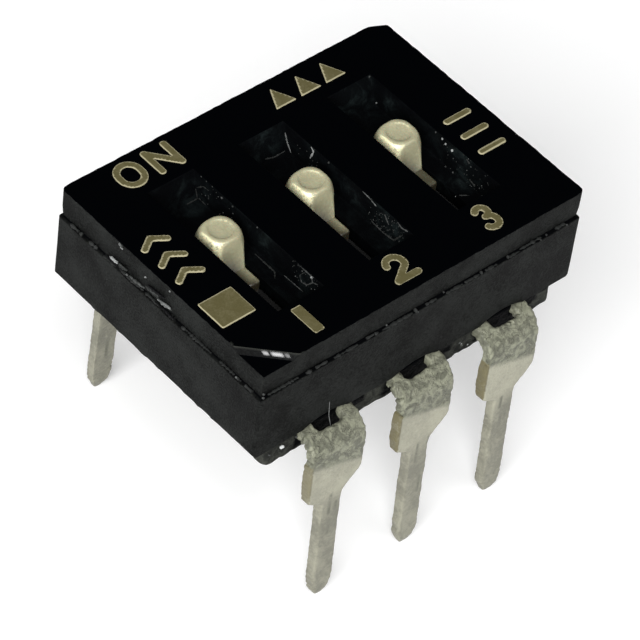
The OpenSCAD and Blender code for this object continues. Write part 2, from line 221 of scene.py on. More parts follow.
class StageSettings(bpy.types.PropertyGroup):
    """Camera, lights and floor"""

    azimuth: angle("Azimuth", "Direction of the camera round the part", -47.315)
    elevation: angle("Elevation", "Height of the camera above the horizon", 46.209)
    roll: angle("Roll", "Turn of the camera about its own axis", 8.368)
    distance: length("Distance", "Distance from the camera to its target", 87.55)
    aim_right: length("Aim right", "Target's offset from the cover's middle, to the right", -0.1147)
    aim_up: length("Aim up", "Target's offset from the cover's middle, upwards in the view", -2.7824)
    lens: number("Lens", "Focal length in millimetres", 231.2)
    key: number("Key light", "Strength of the soft key light", 4.6)
    fill: number("Fill light", "Strength of the front light", 0.5)
    top: number("Top light", "Strength of the overhead light", 0.5)
    glint: number("Glint", "Strength of the small crisp lamp", 0.4)
    floor_colour: colour("Floor colour", "Plain pale floor", 0.78, 0.78, 0.78)


class SwitchSettings(bpy.types.PropertyGroup):
    """All settings of the DIP switch"""

    housing: PointerProperty(type=HousingSettings)
    slider: PointerProperty(type=SliderSettings)
    terminal: PointerProperty(type=TerminalSettings)
    ink: PointerProperty(type=InkSettings)
    stage: PointerProperty(type=StageSettings)


def settings():
    """The settings of the switch in this scene."""
    return bpy.context.scene.dip_switch


# Mesh tools -------------------------------------------------------------------


def cad_copy(node):
    """A bmesh of a CAD node with doubles merged and flat faces joined."""
    bm = bmesh.new()
    bm.from_mesh(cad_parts[node].data)
    bmesh.ops.remove_doubles(bm, verts=bm.verts, dist=DOUBLES)
    bmesh.ops.dissolve_limit(bm, angle_limit=math.radians(0.5), verts=bm.verts, edges=bm.edges)
    return bm


def layer(bm, name):
    """A float value on every vertex, made the first time it is asked for."""
    return bm.verts.layers.float.get(name) or bm.verts.layers.float.new(name)


def layers(bm, *names):
    """Several float values on every vertex."""
    return [layer(bm, name) for name in names]


def round_edges(bm, width, sharper_than, segments=2, keep=lambda edge: True):
    """Rounds every edge sharper than an angle in degrees."""
    limit = math.radians(sharper_than)
    sharp = [e for e in bm.edges if e.is_manifold and e.calc_face_angle() > limit and keep(e)]
    bmesh.ops.bevel(bm, geom=sharp, offset=width, offset_type="OFFSET", segments=segments, profile=0.5,
                    affect="EDGES", clamp_overlap=True)


def mark_edges(bm):
    """Marks the vertices on rounded edges in the layer edge."""
    edge = layer(bm, "edge")
    for e in bm.edges:
        if e.is_manifold and e.calc_face_angle() > math.radians(15):
            for v in e.verts:
                v[edge] = 1.0


def grid_cut(bm, step, axes="xyz", within=lambda face: True):
    """Cuts the mesh, or only the faces that within picks, along a grid of level and upright planes."""
    for axis in ("xyz".index(letter) for letter in axes):
        heights = [v.co[axis] for f in bm.faces if within(f) for v in f.verts]
        normal = [float(k == axis) for k in range(3)]
        for k in range(math.floor(min(heights) / step) + 1, math.ceil(max(heights) / step)):
            place = [n * (k + GRID_SHIFT) * step for n in normal]
            crossed = [f for f in bm.faces if within(f) and min(v.co[axis] for v in f.verts)
                       < place[axis] < max(v.co[axis] for v in f.verts)]
            rims = dict.fromkeys(part for f in crossed for part in (*f.verts, *f.edges))
            bmesh.ops.bisect_plane(bm, geom=[*rims, *crossed], dist=SLIVER, plane_co=place, plane_no=normal)


def clamp(value):
    """A value held between 0 and 1."""
    return min(1.0, max(0.0, value))


def fade(distance, reach):
    """Falls from 1 to 0 while a distance grows from 0 to a reach."""
    return max(0.0, 1.0 - distance / reach)


def ripple(point, size, seed):
    """Smooth noise from -1 to 1 at a point, with features of about the given size."""
    return noise.noise(point / size + Vector((seed, seed * 0.37, -seed)))


def wobble(bm, amount, size, seed, weight=lambda vertex: 1.0):
    """Moves vertices along their normals by smooth noise."""
    bm.normal_update()
    moves = [(v, v.normal * amount * ripple(v.co, size, seed) * weight(v)) for v in bm.verts]
    for v, move in moves:
        v.co += move


def stray(bm, amount, size, seed, weight=lambda vertex: 1.0):
    """Moves vertices sideways by smooth noise, which makes outlines ragged."""
    for v in bm.verts:
        share = amount * weight(v)
        v.co += Vector((ripple(v.co, size, seed), ripple(v.co, size, seed + 19.0), 0.0)) * share


def new_object(name, data):
    """An object in the scene for a mesh, a lamp or a camera."""
    made = bpy.data.objects.new(name, data)
    bpy.context.scene.collection.objects.link(made)
    return made


def mesh_object(name, bm):
    """An object in the scene for a bmesh, which is used up."""
    mesh = bpy.data.meshes.new(name)
    bm.to_mesh(mesh)
    bm.free()
    return new_object(name, mesh)


def piece(name, bm, body, material, slot, *nodes, smooth_below=50.0):
    """Turns a bmesh into a piece that rides on a body, and stands for CAD nodes if any are named."""
    bmesh.ops.triangulate(bm, faces=[f for f in bm.faces if len(f.verts) > 4])
    bmesh.ops.recalc_face_normals(bm, faces=bm.faces)
    made = mesh_object(name, bm)
    made.data.materials.append(material)
    made.data.shade_smooth()
    made.data.set_sharp_from_angle(angle=math.radians(smooth_below))
    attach(made, body)
    if nodes:
        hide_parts(*nodes)
    return made


def arc(centre, radius, start, end, steps):
    """Points along an arc from start to end, in degrees."""
    angles = [math.radians(start + (end - start) * k / steps) for k in range(steps + 1)]
    return [Vector((centre[0] + radius * math.cos(a), centre[1] + radius * math.sin(a))) for a in angles]


def resample(points, step):
    """A closed outline with points no further apart than step."""
    made = []
    for a, b in zip(points, points[1:] + points[:1]):
        parts = max(1, math.ceil((b - a).length / step))
        made += [a.lerp(b, k / parts) for k in range(parts)]
    return made


def round_trip(points):
    """Each point of a closed outline with the point before it and the point after it."""
    return zip(points[-1:] + points[:-1], points, points[1:] + points[:1])


def outward(points):
    """The unit normal of a closed outline at each point, to the right of its direction."""
    made = []
    for before, _, after in round_trip(points):
        run = after - before
        made.append(Vector((run.y, -run.x)).normalized())
    return made


def soften(points, rounds):
    """A closed outline with its corners worn round."""
    for _ in range(rounds):
        points = [(before + 2 * point + after) / 4 for before, point, after in round_trip(points)]
    return points


def tube(bm, rings):
    """Joins rings of vertices, one after the other, with faces all round."""
    for lower, upper in zip(rings, rings[1:]):
        for k in range(len(lower)):
            bm.faces.new((lower[k - 1], lower[k], upper[k], upper[k - 1]))


def rounded_sheet(loops, thickness, top_round, low_round, step):
    """A sheet cut to closed outlines, with a round along both of its edges.

    The first outline runs counter-clockwise and any holes run clockwise. The sheet's top face is at z = 0.
    """
    bm = bmesh.new()
    edge = layer(bm, "edge")
    for loop in loops:
        rim = [bm.verts.new((*(p - n * top_round), 0.0)) for p, n in zip(loop, outward(loop))]
        for k in range(len(rim)):
            bm.edges.new((rim[k - 1], rim[k]))
    bmesh.ops.triangle_fill(bm, use_beauty=True, use_dissolve=True, edges=bm.edges[:], normal=(0, 0, 1))
    grid_cut(bm, step, "xy")
    bmesh.ops.remove_doubles(bm, verts=bm.verts[:], dist=2 * SLIVER)
    borders = [(e.verts[0], e.verts[1]) for e in bm.edges if e.is_boundary]
    outs = {v: Vector() for pair in borders for v in pair}
    for a, b in borders:
        face = next(f for e in a.link_edges if b in e.verts for f in e.link_faces)
        normal = (b.co - a.co).cross(Vector((0, 0, 1))).normalized()
        if normal.dot((a.co + b.co) / 2 - face.calc_center_median()) < 0:
            normal.negate()
        outs[a] += normal
        outs[b] += normal
    top = bm.verts[:]
    twin = bmesh.ops.duplicate(bm, geom=top + bm.edges[:] + bm.faces[:])["vert_map"]
    for v in top:
        twin[v].co.z = -thickness
    turns = [math.radians(a) for a in (30, 60, 90)]
    levels = [(top_round * math.sin(a), -top_round * (1 - math.cos(a))) for a in turns]
    levels += [(top_round - low_round * (1 - math.sin(a)), -thickness + low_round * (1 - math.cos(a)))
               for a in reversed(turns)]
    levels.append((top_round - low_round, -thickness))
    ring = {v: v for v in outs}
    for out, z in levels:
        lower = {v: bm.verts.new(v.co + outs[v].normalized() * out + Vector((0, 0, z))) for v in outs}
        for v in lower.values():
            v[edge] = 1.0
        for a, b in borders:
            bm.faces.new((ring[a], ring[b], lower[b], lower[a]))
        ring = lower
    for a, b in borders:
        bm.faces.new((ring[a], ring[b], twin[b], twin[a]))
    return bm


# Node tools -------------------------------------------------------------------


class Wires:
    """Adds nodes to a tree and joins them, so that a material reads like a formula."""

    def __init__(self, tree):
        self.tree = tree

    def node(self, kind, **values):
        """A node of a kind, with its own settings."""
        made = self.tree.nodes.new(kind)
        for name, value in values.items():
            setattr(made, name, value)
        return made

    def feed(self, socket, value):
        """Joins a value to a socket, or sets the socket if the value is a number or a colour."""
        if isinstance(value, bpy.types.NodeSocket):
            self.tree.links.new(value, socket)
        else:
            socket.default_value = value

    def fed(self, made, *values):
        """The first output of a node whose first inputs take these values."""
        for socket, value in zip(made.inputs, values):
            self.feed(socket, value)
        return made.outputs[0]

    def math(self, operation, first, second=0.0, third=0.0, clamp=False):
        """The result of a math node."""
        made = self.node("ShaderNodeMath", operation=operation, use_clamp=clamp)
        return self.fed(made, first, second, third)

    def times(self, first, second, clamp=False):
        """The product of two values."""
        return self.math("MULTIPLY", first, second, clamp=clamp)

    def line(self, value, rise, start, clamp=False):
        """A value times a rise, plus a start."""
        return self.math("MULTIPLY_ADD", value, rise, start, clamp)

    def less(self, first, second):
        """The first value less the second."""
        return self.math("SUBTRACT", first, second)

    def step(self, value, low, high):
        """Rises smoothly from 0 to 1 while a value goes from low to high."""
        return self.fed(self.node("ShaderNodeMapRange", interpolation_type="SMOOTHSTEP"), value, low, high)

    def mix(self, share, first, second):
        """A colour between two others."""
        made = self.node("ShaderNodeMix", data_type="RGBA")
        for index, value in ((0, share), (6, first), (7, second)):
            self.feed(made.inputs[index], value)
        return made.outputs[2]

    def place(self, seed):
        """Object coordinates in millimetres, shifted by a seed."""
        scaled = self.node("ShaderNodeVectorMath", operation="SCALE")
        self.feed(scaled.inputs["Scale"], 1 / MM)
        spot = self.fed(scaled, self.node("ShaderNodeTexCoord").outputs["Object"])
        shift = seed if isinstance(seed, bpy.types.NodeSocket) else (seed, seed, seed)
        return self.fed(self.node("ShaderNodeVectorMath", operation="ADD"), spot, shift)

    def noise(self, place, size, detail=3.0, roughness=0.55, distortion=0.0):
        """Noise with features of about a size in millimetres."""
        made = self.node("ShaderNodeTexNoise")
        scale = 1.0 / size if isinstance(size, float) else self.math("DIVIDE", 1.0, size)
        for name, value in (("Vector", place), ("Scale", scale), ("Detail", detail), ("Roughness", roughness),
                            ("Distortion", distortion)):
            self.feed(made.inputs[name], value)
        return made.outputs["Fac"]

    def cells(self, place, size):
        """The distance from the middles of cells of about a size in millimetres."""
        made = self.node("ShaderNodeTexVoronoi")
        self.feed(made.inputs["Vector"], place)
        self.feed(made.inputs["Scale"], self.math("DIVIDE", 1.0, size))
        return made.outputs["Distance"]

    def layer(self, name):
        """A value that the mesh carries on its vertices."""
        return self.node("ShaderNodeAttribute", attribute_name=name).outputs["Fac"]

    def group(self, name, build, **values):
        """A shared node group placed in this tree, with its inputs set. Returns its outputs."""
        made = self.node("ShaderNodeGroup", node_tree=once(name, build))
        for label, value in values.items():
            self.feed(made.inputs[label], value)
        return made.outputs

    def grain(self, grain, wave, seed):
        """The shared grain, with the sizes of its grain and waves in millimetres."""
        return self.group("Moulded grain", grain_group, Grain=grain, Wave=wave, Seed=seed)

    def rubbed_edge(self):
        """The shared edge wear, along the mesh's own edge strips."""
        edge = self.step(self.layer("edge"), 0.7, 1.0)
        return self.group("Rubbed edge", wear_group, Edge=edge, Size=0.12, Cover=0.5)["Mask"]


def new_group(name, inputs, outputs):
    """An empty shader node group with float inputs and outputs."""
    tree = bpy.data.node_groups.new(name, "ShaderNodeTree")
    for label, default in inputs:
        socket = tree.interface.new_socket(label, in_out="INPUT", socket_type="NodeSocketFloat")
        socket.default_value = default
    for label in outputs:
        tree.interface.new_socket(label, in_out="OUTPUT", socket_type="NodeSocketFloat")
    wires = Wires(tree)
    return tree, wires, wires.node("NodeGroupInput").outputs, wires.node("NodeGroupOutput").inputs


def once(name, build):
    """A node group or material that is built the first time it is asked for."""
    found = bpy.data.node_groups.get(name) or bpy.data.materials.get(name)
    return found or build(name)


def grain_group(name):
    """Fine moulded or etched grain over slow waves in the surface."""
    tree, w, given, out = new_group(name, (("Grain", 0.05), ("Wave", 0.6), ("Seed", 0.0)), ("Height", "Tone"))
    seed = given["Seed"]
    place = w.place(w.fed(w.node("ShaderNodeCombineXYZ"), seed, seed, seed))
    fine = w.noise(place, given["Grain"], detail=4.0, roughness=0.6)
    slow = w.noise(place, given["Wave"], detail=2.0)
    for label, share in (("Height", 0.6), ("Tone", 0.45)):
        w.feed(out[label], w.line(fine, share, w.times(slow, 1.0 - share)))
    return tree


def dust_group(name):
    """Patches of dust film and scattered bright flecks."""
    tree, w, given, out = new_group(
        name, (("Amount", 0.5), ("Patch", 0.7), ("Fleck", 0.06), ("Share", 0.1)), ("Film", "Flecks"))
    place = w.place(3.7)
    patch = w.noise(place, given["Patch"], detail=5.0, roughness=0.65, distortion=0.6)
    fine = w.noise(place, w.times(given["Patch"], 0.16))
    floor = w.less(0.75, w.times(given["Amount"], 0.5))
    film = w.step(patch, floor, w.math("ADD", floor, 0.3))
    w.feed(out["Film"], w.times(film, w.line(fine, 1.1, 0.1), clamp=True))
    spread = w.step(w.cells(place, given["Fleck"]), 0.42, 0.2)
    chosen = w.noise(place, w.times(given["Fleck"], 4.0), detail=2.0, roughness=0.8)
    limit = w.less(1.0, given["Share"])
    w.feed(out["Flecks"], w.times(spread, w.step(chosen, w.less(limit, 0.05), limit)))
    return tree


def wear_group(name):
    """Turns the mesh's own edge strips into broken, worn edges."""
    tree, w, given, out = new_group(name, (("Edge", 0.0), ("Size", 0.15), ("Cover", 0.5)), ("Mask",))
    broken = w.noise(w.place(8.1), given["Size"], detail=4.0, roughness=0.65)
    floor = w.less(0.8, w.times(given["Cover"], 0.6))
    w.feed(out["Mask"], w.times(given["Edge"], w.step(broken, floor, w.math("ADD", floor, 0.2))))
    return tree


def surface(name, **constants):
    """A material with a Principled shader whose constant inputs are set on its own sockets."""
    made = bpy.data.materials.new(name)
    made.use_nodes = True
    shader = made.node_tree.nodes["Principled BSDF"]
    for label, value in constants.items():
        shader.inputs[label.replace("_", " ")].default_value = value
    return made, Wires(made.node_tree), shader.inputs


def finished(made, w, shader, colour, roughness, height, depth):
    """Feeds colour, roughness, and a normal bumped by a height that stands for up to depth millimetres."""
    bump = w.node("ShaderNodeBump")
    w.feed(bump.inputs["Height"], height)
    w.feed(bump.inputs["Distance"], depth * MM)
    w.feed(shader["Base Color"], colour)
    w.feed(shader["Roughness"], roughness)
    w.feed(shader["Normal"], bump.outputs["Normal"])
    return made


def rgba(colour, strength=1.0):
    """A colour property, brighter or darker by a strength, with full alpha."""
    return (*(Vector(colour) * strength), 1.0)


# Materials --------------------------------------------------------------------


def matt_side(w, grain):
    """Mottled colour of the matt sides."""
    side = settings().housing.side_colour
    return w.mix(w.step(grain["Height"], 0.38, 0.64), rgba(side, 0.3), rgba(side, 2.0))


def cover_material(name):
    """Black moulding: glossy printed face, matt sides, a gleaming riser with a painted top highlight, dusty
    pockets.
    """
    s = settings().housing
    made, w, shader = surface(name, Specular_IOR_Level=0.05, Coat_Roughness=0.12)
    grain = w.grain(grain=0.045, wave=0.7, seed=1.3)
    film = w.group("Dust film", dust_group, Amount=0.62, Patch=0.5)["Film"]
    top, pocket = w.layer("top"), w.layer("pocket")
    glossy = w.math("MAXIMUM", top, pocket)
    colour = w.mix(glossy, matt_side(w, grain), rgba(s.top_colour))
    dusty = w.line(film, 0.10, w.times(w.layer("dirt_and_shade"), w.line(film, 1.35, 0.08)))
    colour = w.mix(w.times(pocket, dusty), colour, rgba(s.dust_colour))
    worn = w.times(w.times(w.rubbed_edge(), w.less(1.0, glossy)), 0.35)
    # Edges worn grey, and a painted grey highlight along the top edge of the riser.
    for share in (worn, w.times(w.layer("riser"), 0.6)):
        colour = w.mix(share, colour, rgba(s.foot_colour))
    w.feed(shader["Coat Weight"], w.layer("gleam"))
    rough = w.line(grain["Tone"], 0.12, w.line(top, -0.4, 0.6))
    relief = w.times(grain["Height"], w.less(1.0, w.times(top, 0.95)))
    return finished(made, w, shader, colour, rough, relief, depth=0.024)


def base_material(name):
    """Black moulding with matt sides, a rough, speckled grey foot and painted black shade in its hollows."""
    s = settings().housing
    made, w, shader = surface(name, Specular_IOR_Level=0.05)
    grain = w.grain(grain=0.045, wave=0.8, seed=5.9)
    dust = w.group("Dust film", dust_group, Amount=0.8, Patch=0.3, Fleck=0.09, Share=0.30)
    foot = w.layer("foot")
    speckled = w.mix(w.line(dust["Film"], 1.3, 0.1, clamp=True), rgba(s.side_colour), rgba(s.foot_colour))
    speckled = w.mix(w.times(dust["Flecks"], 0.5), speckled, rgba(s.fleck_colour))
    colour = w.mix(foot, matt_side(w, grain), speckled)
    colour = w.mix(w.times(w.rubbed_edge(), 0.3), colour, rgba(s.foot_colour))
    # Painted shade: black in the parting line, in the arches over the terminals and in the gaps beside them.
    colour = w.mix(w.layer("painted_shade"), colour, rgba(s.top_colour))
    relief = w.line(w.times(foot, dust["Film"]), 1.5, grain["Height"])
    return finished(made, w, shader, colour, w.line(grain["Tone"], 0.15, 0.55), relief, depth=0.024)


def dirt_material(name):
    """Dust, fibres and torn flash: the layer tone runs from black through the sides' grey to pale."""
    s = settings().housing
    made, w, shader = surface(name, Specular_IOR_Level=0.2)
    grain = w.grain(grain=0.04, wave=0.2, seed=2.2)
    tone = w.line(w.less(grain["Tone"], 0.5), 0.35, w.layer("tone"))
    colour = w.mix(w.step(tone, 0.0, 0.4), rgba(s.top_colour), rgba(s.side_colour, 2.2))
    colour = w.mix(w.step(tone, 0.5, 1.35), colour, rgba(s.fleck_colour))
    return finished(made, w, shader, colour, 0.7, grain["Height"], depth=0.01)


def slider_material(name):
    """Cream plastic, soft gloss: a painted flank highlight, painted shade on tail and plate, grime on the
    tail.
    """
    s = settings().slider
    made, w, shader = surface(name, Subsurface_Weight=0.1, Subsurface_Scale=0.2 * MM, Specular_IOR_Level=0.8,
                              Coat_Roughness=0.28)
    grain = w.grain(grain=0.06, wave=0.4, seed=7.7)
    height, tone, inside = grain["Height"], grain["Tone"], w.layer("inside")
    colour = w.mix(w.step(height, 0.40, 0.62), rgba(s.plastic_colour, 0.86), rgba(s.plastic_colour))
    # A painted highlight on the flank that faces the key lamp, grime and painted shade on the tail, painted
    # shade on the plate.
    for share, coat in ((w.times(w.layer("rubbed"), w.step(height, 0.38, 0.52)), rgba(s.plastic_colour, 2.0)),
                        (w.times(w.layer("dirt_and_shade"), w.step(tone, 0.0, 0.35)), rgba(s.dirt_and_shade_colour)),
                        (inside, rgba(s.dirt_and_shade_colour, 0.02))):
        colour = w.mix(share, colour, coat)
    w.feed(shader["Coat Weight"], w.line(inside, -0.3, 0.3))
    rough = w.math("MAXIMUM", inside, w.line(tone, 0.25, 0.2))
    return finished(made, w, shader, colour, rough, height, depth=0.010)


def tin_material(name):
    """Dull tin plate, darker on the pin, pitted and dark round the bend, scratched, and bare on the stub."""
    s = settings().terminal
    made, w, shader = surface(name, Specular_IOR_Level=0.35)
    grain = w.grain(grain=0.07, wave=0.45, seed=4.1)
    tone, height = grain["Tone"], w.layer("upper")
    place = w.place(2.6)
    blotch = w.noise(place, 0.26, detail=4.0, roughness=0.6, distortion=1.0)
    curl = w.step(w.math("ABSOLUTE", w.less(w.noise(place, 0.34, distortion=1.4), 0.5)), 0.035, 0.012)
    upper = w.step(w.line(blotch, 0.6, height), 0.62, 1.0)
    mottle = w.step(tone, 0.38, 0.62)
    plate, darker_pin = (w.mix(mottle, rgba(s.tin_colour, low), rgba(s.tin_colour, high))
                       for low, high in ((0.78, 1.0), (0.46, 0.72)))
    plate = w.mix(w.layer("pin"), plate, darker_pin)
    dark = w.mix(w.step(blotch, 0.40, 0.60), rgba(s.dark_colour, 0.85), rgba(s.dark_colour, 1.75))
    dark = w.mix(w.times(curl, w.step(height, 0.8, 1.6)), dark, rgba(s.tin_colour))
    colour = w.mix(upper, plate, dark)
    for share, coat in ((w.times(w.layer("bare"), w.step(tone, 0.2, 0.5)), rgba(s.bare_colour)),
                        (w.times(w.layer("scratch"), w.step(tone, 0.36, 0.56)), rgba(s.dark_colour, 0.8))):
        colour = w.mix(share, colour, coat)
    relief = w.line(w.times(upper, w.math("ADD", blotch, curl)), 0.6, grain["Height"])
    return finished(made, w, shader, colour, w.line(tone, 0.25, 0.4), relief, depth=0.034)


def gold_material(name):
    """Thin gold plate with faint rolling marks."""
    made, w, shader = surface(name, Metallic=1.0)
    grain = w.grain(grain=0.05, wave=0.4, seed=6.4)
    colour = w.mix(grain["Tone"], (0.62, 0.43, 0.16, 1.0), (0.83, 0.62, 0.27, 1.0))
    return finished(made, w, shader, colour, w.line(grain["Tone"], 0.2, 0.22), grain["Height"], depth=0.004)


def ink_material(name):
    """Khaki printed ink, paler along its thick rim."""
    s = settings().ink
    made, w, shader = surface(name, Specular_IOR_Level=0.3)
    grain = w.grain(grain=0.05, wave=0.3, seed=9.5)
    tone = grain["Tone"]
    rim = w.step(w.line(tone, 0.6, w.layer("edge")), 0.45, 1.15)
    thick = w.math("MAXIMUM", rim, w.times(w.step(tone, 0.42, 0.66), 0.12))
    colour = w.mix(thick, rgba(s.ink_colour), rgba(s.pale_colour))
    return finished(made, w, shader, colour, w.line(tone, 0.2, 0.45), grain["Height"], depth=0.006)


def floor_material(name):
    """Plain pale floor with a faint tone, lit a little from below like a light table."""
    s = settings().stage
    made, w, shader = surface(name, Roughness=0.9, Specular_IOR_Level=0.0, Emission_Strength=0.35)
    grain = w.grain(grain=2.0, wave=30.0, seed=0.4)
    colour = w.mix(grain["Tone"], rgba(s.floor_colour, 0.99), rgba(s.floor_colour))
    for label in ("Base Color", "Emission Color"):
        w.feed(shader[label], colour)
    return made


# Dirt -------------------------------------------------------------------------

WALL, END, FLOOR = "wall", "end", "floor"

# Soft patches of dust film: pocket, face, place on that face, radius and strength.
DUST_PATCHES = (
    (1, WALL, -0.15, 0.40, 0.45, 0.45), (1, END, 0.30, 0.20, 0.50, 0.25), (1, WALL, -1.60, 0.40, 0.40, 0.25),
    (2, END, 0.00, 0.40, 0.45, 0.50), (2, WALL, -0.15, 0.40, 0.35, 0.40), (2, WALL, -1.35, 0.35, 0.55, 0.45),
    (3, END, 0.10, 0.40, 0.60, 0.50), (3, WALL, 1.40, 0.35, 0.40, 0.30), (3, WALL, -1.00, 0.35, 0.60, 0.45),
    (3, FLOOR, 0.45, -0.90, 0.40, 0.40),
)

# Clouds of fine grains on a pocket's wall: pocket, middle along and in height, spread and number of grains.
DUST_CLOUDS = ((1, -1.55, 0.45, 0.40, 34), (2, -1.30, 0.35, 0.55, 70), (2, 1.20, 0.40, 0.50, 14),
               (3, -1.00, 0.40, 0.80, 46), (1, 1.30, 0.40, 0.60, 22))

# Fibres (two or more places) and grains (one place): pocket, face, width, tone and places on that face.
DUST_MARKS = (
    (1, END, 0.038, 0.50, ((0.60, 0.25), (0.60, 0.03), (0.30, 0.03))),
    (1, WALL, 0.030, 0.51, ((1.85, 0.04), (1.60, 0.02))),
    (1, WALL, 0.050, 0.65, ((1.15, 0.62),)),
    (1, WALL, 0.045, 0.56, ((0.80, 0.65),)),
    (1, WALL, 0.030, 0.42, ((1.95, 0.27), (1.75, 0.47), (1.60, 0.48))),
    (1, WALL, 0.040, 0.65, ((0.00, 0.68),)),
    (1, FLOOR, 0.040, 0.50, ((0.55, -0.10), (0.55, -0.35), (0.55, -0.55), (0.55, -0.75), (0.42, -0.90))),
    (1, WALL, 0.025, 0.65, ((-0.95, 0.02), (-1.55, 0.04))),
    (1, WALL, 0.030, 0.60, ((-1.30, 0.66), (-1.50, 0.66), (-1.72, 0.66), (-1.80, 0.52), (-1.65, 0.32),
                            (-1.48, 0.26), (-1.40, 0.40), (-1.50, 0.56))),
    (1, WALL, 0.055, 0.82, ((-1.75, 0.64),)),
    (1, WALL, 0.030, 0.60, ((-1.80, 0.52), (-1.95, 0.58))),
    (2, WALL, 0.045, 0.73, ((2.00, 0.44), (1.90, 0.23), (1.75, 0.04))),
    (2, WALL, 0.045, 0.84, ((1.18, 0.67), (1.08, 0.60), (1.16, 0.35))),
    (2, END, 0.035, 0.56, ((0.00, 0.09), (0.25, 0.03), (0.55, 0.04))),
    (2, WALL, 0.050, 0.56, ((0.60, 0.66),)),
    (2, WALL, 0.030, 0.69, ((-0.50, 0.68), (-0.72, 0.66), (-0.95, 0.60))),
    (2, WALL, 0.045, 0.56, ((-0.87, 0.10), (-1.25, 0.06), (-1.60, 0.10), (-1.82, 0.45))),
    (2, WALL, 0.035, 0.58, ((-1.22, 0.58), (-1.38, 0.40))),
    (2, WALL, 0.040, 0.63, ((-1.62, 0.67), (-1.76, 0.61), (-1.95, 0.66))),
    (3, END, 0.050, 0.63, ((0.60, 0.66),)),
    (3, WALL, 0.045, 0.73, ((1.80, 0.09),)),
    (3, WALL, 0.050, 0.84, ((-0.27, 0.63),)),
    (3, WALL, 0.050, 0.84, ((-0.38, 0.57),)),
    (3, WALL, 0.060, 0.95, ((-0.61, 0.55),)),
    (3, WALL, 0.040, 0.60, ((-0.05, 0.66),)),
    (3, FLOOR, 0.040, 0.60, ((0.59, -0.52),)),
    (3, FLOOR, 0.045, 0.67, ((0.60, -0.75),)),
    (3, WALL, 0.060, 0.47, ((-1.05, 0.64), (-1.15, 0.58))),
    (3, WALL, 0.050, 0.56, ((-1.25, 0.16), (-1.42, 0.11))),
    (3, FLOOR, 0.024, 0.82, ((0.15, -1.33),)),
    (3, FLOOR, 0.028, 0.58, ((0.24, -1.35), (0.42, -1.48))),
)

# Chips, flakes and grains on the sides: side, width, tone and places along that side and in height.
SIDE_CHIPS = (
    ("left", 0.085, 0.80, ((1.57, 7.26), (1.42, 7.27), (1.34, 7.29))),
    ("left", 0.075, 0.50, ((1.30, 7.27), (1.05, 7.30))),
    ("left", 0.050, 0.00, ((1.72, 7.21), (1.45, 7.20), (1.22, 7.20))),
    ("left", 0.070, 0.60, ((0.90, 7.21), (0.70, 7.22), (0.50, 7.25))),
    ("left", 0.100, 0.50, ((0.40, 7.34), (0.20, 7.37), (0.00, 7.36))),
    ("left", 0.060, 0.00, ((0.36, 7.42), (0.10, 7.46), (-0.15, 7.48))),
    ("left", 0.090, 0.74, ((0.00, 7.30), (-0.20, 7.32), (-0.38, 7.34))),
    ("left", 0.050, 0.00, ((0.05, 7.17), (-0.25, 7.18), (-0.55, 7.15))),
    ("left", 0.050, 0.80, ((0.46, 7.60),)),
    ("left", 0.045, 0.75, ((-0.31, 7.82),)),
    ("left", 0.045, 0.75, ((1.30, 7.87), (1.26, 7.78))),
    ("left", 0.050, 0.70, ((1.02, 7.19),)),
    ("left", 0.040, 0.60, ((1.61, 6.56),)),
    ("left", 0.050, 0.68, ((-2.53, 7.15),)),
    ("front", 0.045, 0.65, ((-1.10, 7.22),)),
    ("front", 0.040, 0.70, ((-0.19, 7.06),)),
    ("front", 0.045, 0.58, ((0.53, 7.22),)),
    ("front", 0.040, 0.60, ((3.40, 7.09),)),
    ("front", 0.045, 0.58, ((4.18, 7.09),)),
    ("front", 0.055, 0.60, ((-4.51, 7.27),)),
    ("front", 0.060, 0.62, ((-4.51, 7.17),)),
    ("front", 0.035, 0.68, ((-2.17, 6.10),)),
    ("front", 0.090, 1.10, ((-3.75, 5.14),)),
    ("front", 0.050, 0.60, ((-4.10, 5.12),)),
    ("front", 0.045, 0.62, ((-3.35, 5.20),)),
)


# Pieces -----------------------------------------------------------------------


def in_pocket(point, margin):
    """Whether a point lies within a finger pocket, seen from above."""
    s = settings().housing
    return abs(point.y) < s.pocket_length / 2 + margin and any(
        abs(point.x - column) < s.pocket_width / 2 + margin for column in COLUMNS)


def on_riser(point):
    """Whether a point lies on the sloped side of the lowered corner at pin 1."""
    right, back, depth = point.x - COVER_LOW.x, point.y - COVER_LOW.y, Z_TOP - point.z
    return 0.80 * MM < right + back < 1.10 * MM and -0.001 * MM < depth < 0.115 * MM and min(right, back) > 0


def on_face(pocket, face, a, b):
    """A point on one face of a pocket and the direction out of that face, from two lengths in millimetres.

    The wall takes (along, height), the end takes (across, height) and the floor takes (across, along).
    """
    s = settings().housing
    column, half = COLUMNS[pocket - 1], s.pocket_width / 2
    floor = Z_TOP - s.pocket_depth
    lean = s.pocket_lean / s.pocket_depth
    if face == WALL:
        return Vector((column + half, a * MM, floor + b * MM)), Vector((-1, 0, 0))
    if face == END:
        foot = s.pocket_length / 2 - s.pocket_lean
        spot = Vector((column + a * MM, foot + b * MM * lean, floor + b * MM))
        return spot, Vector((0, -1, lean)).normalized()
    return Vector((column + a * MM, b * MM, floor)), Vector((0, 0, 1))


def dust_film(point):
    """How thick the dust lies at a point of a pocket, from 0 to 1."""
    return max(strength * fade((point - on_face(pocket, face, a, b)[0]).length, radius * MM) ** 0.7
               for pocket, face, a, b, radius, strength in DUST_PATCHES)


def riser_gleam(depth, along):
    """How much the riser gleams at a depth under the top and a place along it, both in millimetres."""
    spots = max(size * max(0.0, 1.0 - (abs(along - middle) / reach) ** 4)
                for middle, reach, size in RISER_GLEAMS)
    band_depth, band_half = 0.045, 0.03
    return spots * max(0.0, 1.0 - ((depth - band_depth) / band_half) ** 2)


